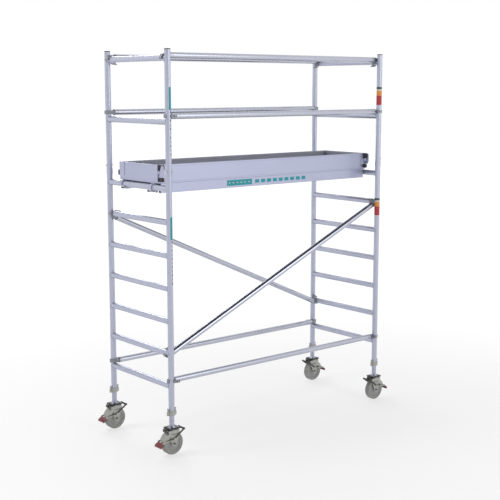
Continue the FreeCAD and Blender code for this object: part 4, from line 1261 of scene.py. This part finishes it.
class TOWER_OT_labels(Step):
    """Sticks generic colour labels on the posts and on the front beam"""

    bl_idname = "tower.labels"
    bl_label = "Labels"

    def make(self):
        shapes = {name: bmesh.new() for name in ("teal", "ink", "cream", "amber", "red")}
        for corner, post in POSTS.items():
            if corner == "front_right":
                self.add_stack(shapes, post, -128.0)
            else:
                self.add_strip(shapes, post, -68.0 if corner.startswith("front") else 112.0)
        self.add_beam_label(shapes)
        for name, shape in shapes.items():
            finished(f"labels_{name}", closed(shape), name, sharp=60.0)

    def add_patch(self, shape, post, low, high, face, spread):
        """A thin label bent round a post, from one height to another."""
        steps = 12
        start = math.radians(face - spread / 2)
        turn = math.radians(spread) / steps
        rings = []
        for radius in (POST_RADIUS - 0.0003, POST_RADIUS + 0.0004):
            rings.append([
                [shape.verts.new((post.x + radius * math.cos(start + turn * k),
                                  post.y + radius * math.sin(start + turn * k), z))
                 for z in (low, high)] for k in range(steps + 1)])
        inner, outer = rings
        for k in range(steps):
            shape.faces.new([outer[k][0], outer[k + 1][0], outer[k + 1][1], outer[k][1]])
            shape.faces.new([inner[k][1], inner[k + 1][1], inner[k + 1][0], inner[k][0]])
            shape.faces.new([outer[k][1], outer[k + 1][1], inner[k + 1][1], inner[k][1]])
            shape.faces.new([inner[k][0], inner[k + 1][0], outer[k + 1][0], outer[k][0]])
        for k in (0, steps):
            shape.faces.new([outer[k][0], outer[k][1], inner[k][1], inner[k][0]])

    def add_strip(self, shapes, post, face):
        """A teal label over a row of dark ticks, twice on each post."""
        for high, low, end in ((3.109, 2.924, 2.545), (2.046, 1.854, 1.470)):
            self.add_patch(shapes["teal"], post, low, high, face, 78.0)
            ticks = 11
            pitch = (low - end) / ticks
            for k in range(ticks):
                top = low - pitch * (k + 0.25)
                self.add_patch(shapes["ink"], post, top - pitch * 0.5, top, face, 18.0 if k % 2 else 30.0)

    def add_stack(self, shapes, post, face):
        """Four colour fields one over the other, twice on the post."""
        for high, low in ((3.108, 2.936), (2.033, 1.865)):
            top = high
            for name, share in (("ink", 0.12), ("cream", 0.10), ("amber", 0.26), ("red", 0.52)):
                field = (high - low) * share
                self.add_patch(shapes[name], post, top - field + 0.0008, top, face, 190.0)
                top -= field

    def add_beam_label(self, shapes):
        """A teal field and a row of short teal bars on the front beam."""
        low = BEAM_LOW.z + 0.021
        high = BEAM_HIGH.z - 0.018

        def place(u, v, w):
            """u along the beam, v up, w out from its front face."""
            return Vector((u, -BEAM_HIGH.y - w, v))

        field = rectangle(-0.504, -0.216, low - 0.004, high + 0.004)
        add_bar(shapes["teal"], field, -0.0002, 0.0003, place)
        count = 9
        bars_start, bars_end = -0.180, 0.461
        step = (bars_end - bars_start) / count
        for k in range(count):
            start = bars_start + step * k
            bar = rectangle(start, start + step * 0.7, low + 0.006, high - 0.006)
            add_bar(shapes["teal"], bar, -0.0002, 0.0003, place)
        for k in range(6):
            start = -0.484 + 0.045 * k
            mark = rectangle(start, start + 0.016, low + 0.017, high - 0.017)
            add_bar(shapes["cream"], mark, 0.0002, 0.0005, place)


class TOWER_PT_panel(bpy.types.Panel):
    """Lists the steps, the sizes and the colours"""

    bl_idname = "TOWER_PT_panel"
    bl_label = "Access tower"
    bl_space_type = "VIEW_3D"
    bl_region_type = "UI"
    bl_category = "Tower"

    def draw(self, context):
        column = self.layout.column()
        for step in STEPS:
            column.operator(step.bl_idname)
        for group in (context.scene.tower_sizes, context.scene.tower_colours):
            for name in group.__annotations__:
                column.prop(group, name)


STEPS = (
    TOWER_OT_stage, TOWER_OT_finishes, TOWER_OT_welds, TOWER_OT_jacks, TOWER_OT_wheels,
    TOWER_OT_castors, TOWER_OT_brakes, TOWER_OT_braces, TOWER_OT_toe_boards, TOWER_OT_platform,
    TOWER_OT_labels,
)
CLASSES = (TowerSizes, TowerColours, *STEPS, TOWER_PT_panel)


def register():
    """Registers the classes and the scene's settings."""
    for item in CLASSES:
        bpy.utils.register_class(item)
    bpy.types.Scene.tower_sizes = PointerProperty(type=TowerSizes)
    bpy.types.Scene.tower_colours = PointerProperty(type=TowerColours)


def unregister():
    """Removes the settings and the classes."""
    del bpy.types.Scene.tower_colours
    del bpy.types.Scene.tower_sizes
    for item in reversed(CLASSES):
        bpy.utils.unregister_class(item)


def main():
    """Registers the classes and builds everything in order."""
    register()
    for step in STEPS:
        group, name = step.bl_idname.split(".")
        getattr(getattr(bpy.ops, group), name)()


if __name__ == "__main__":
    main()
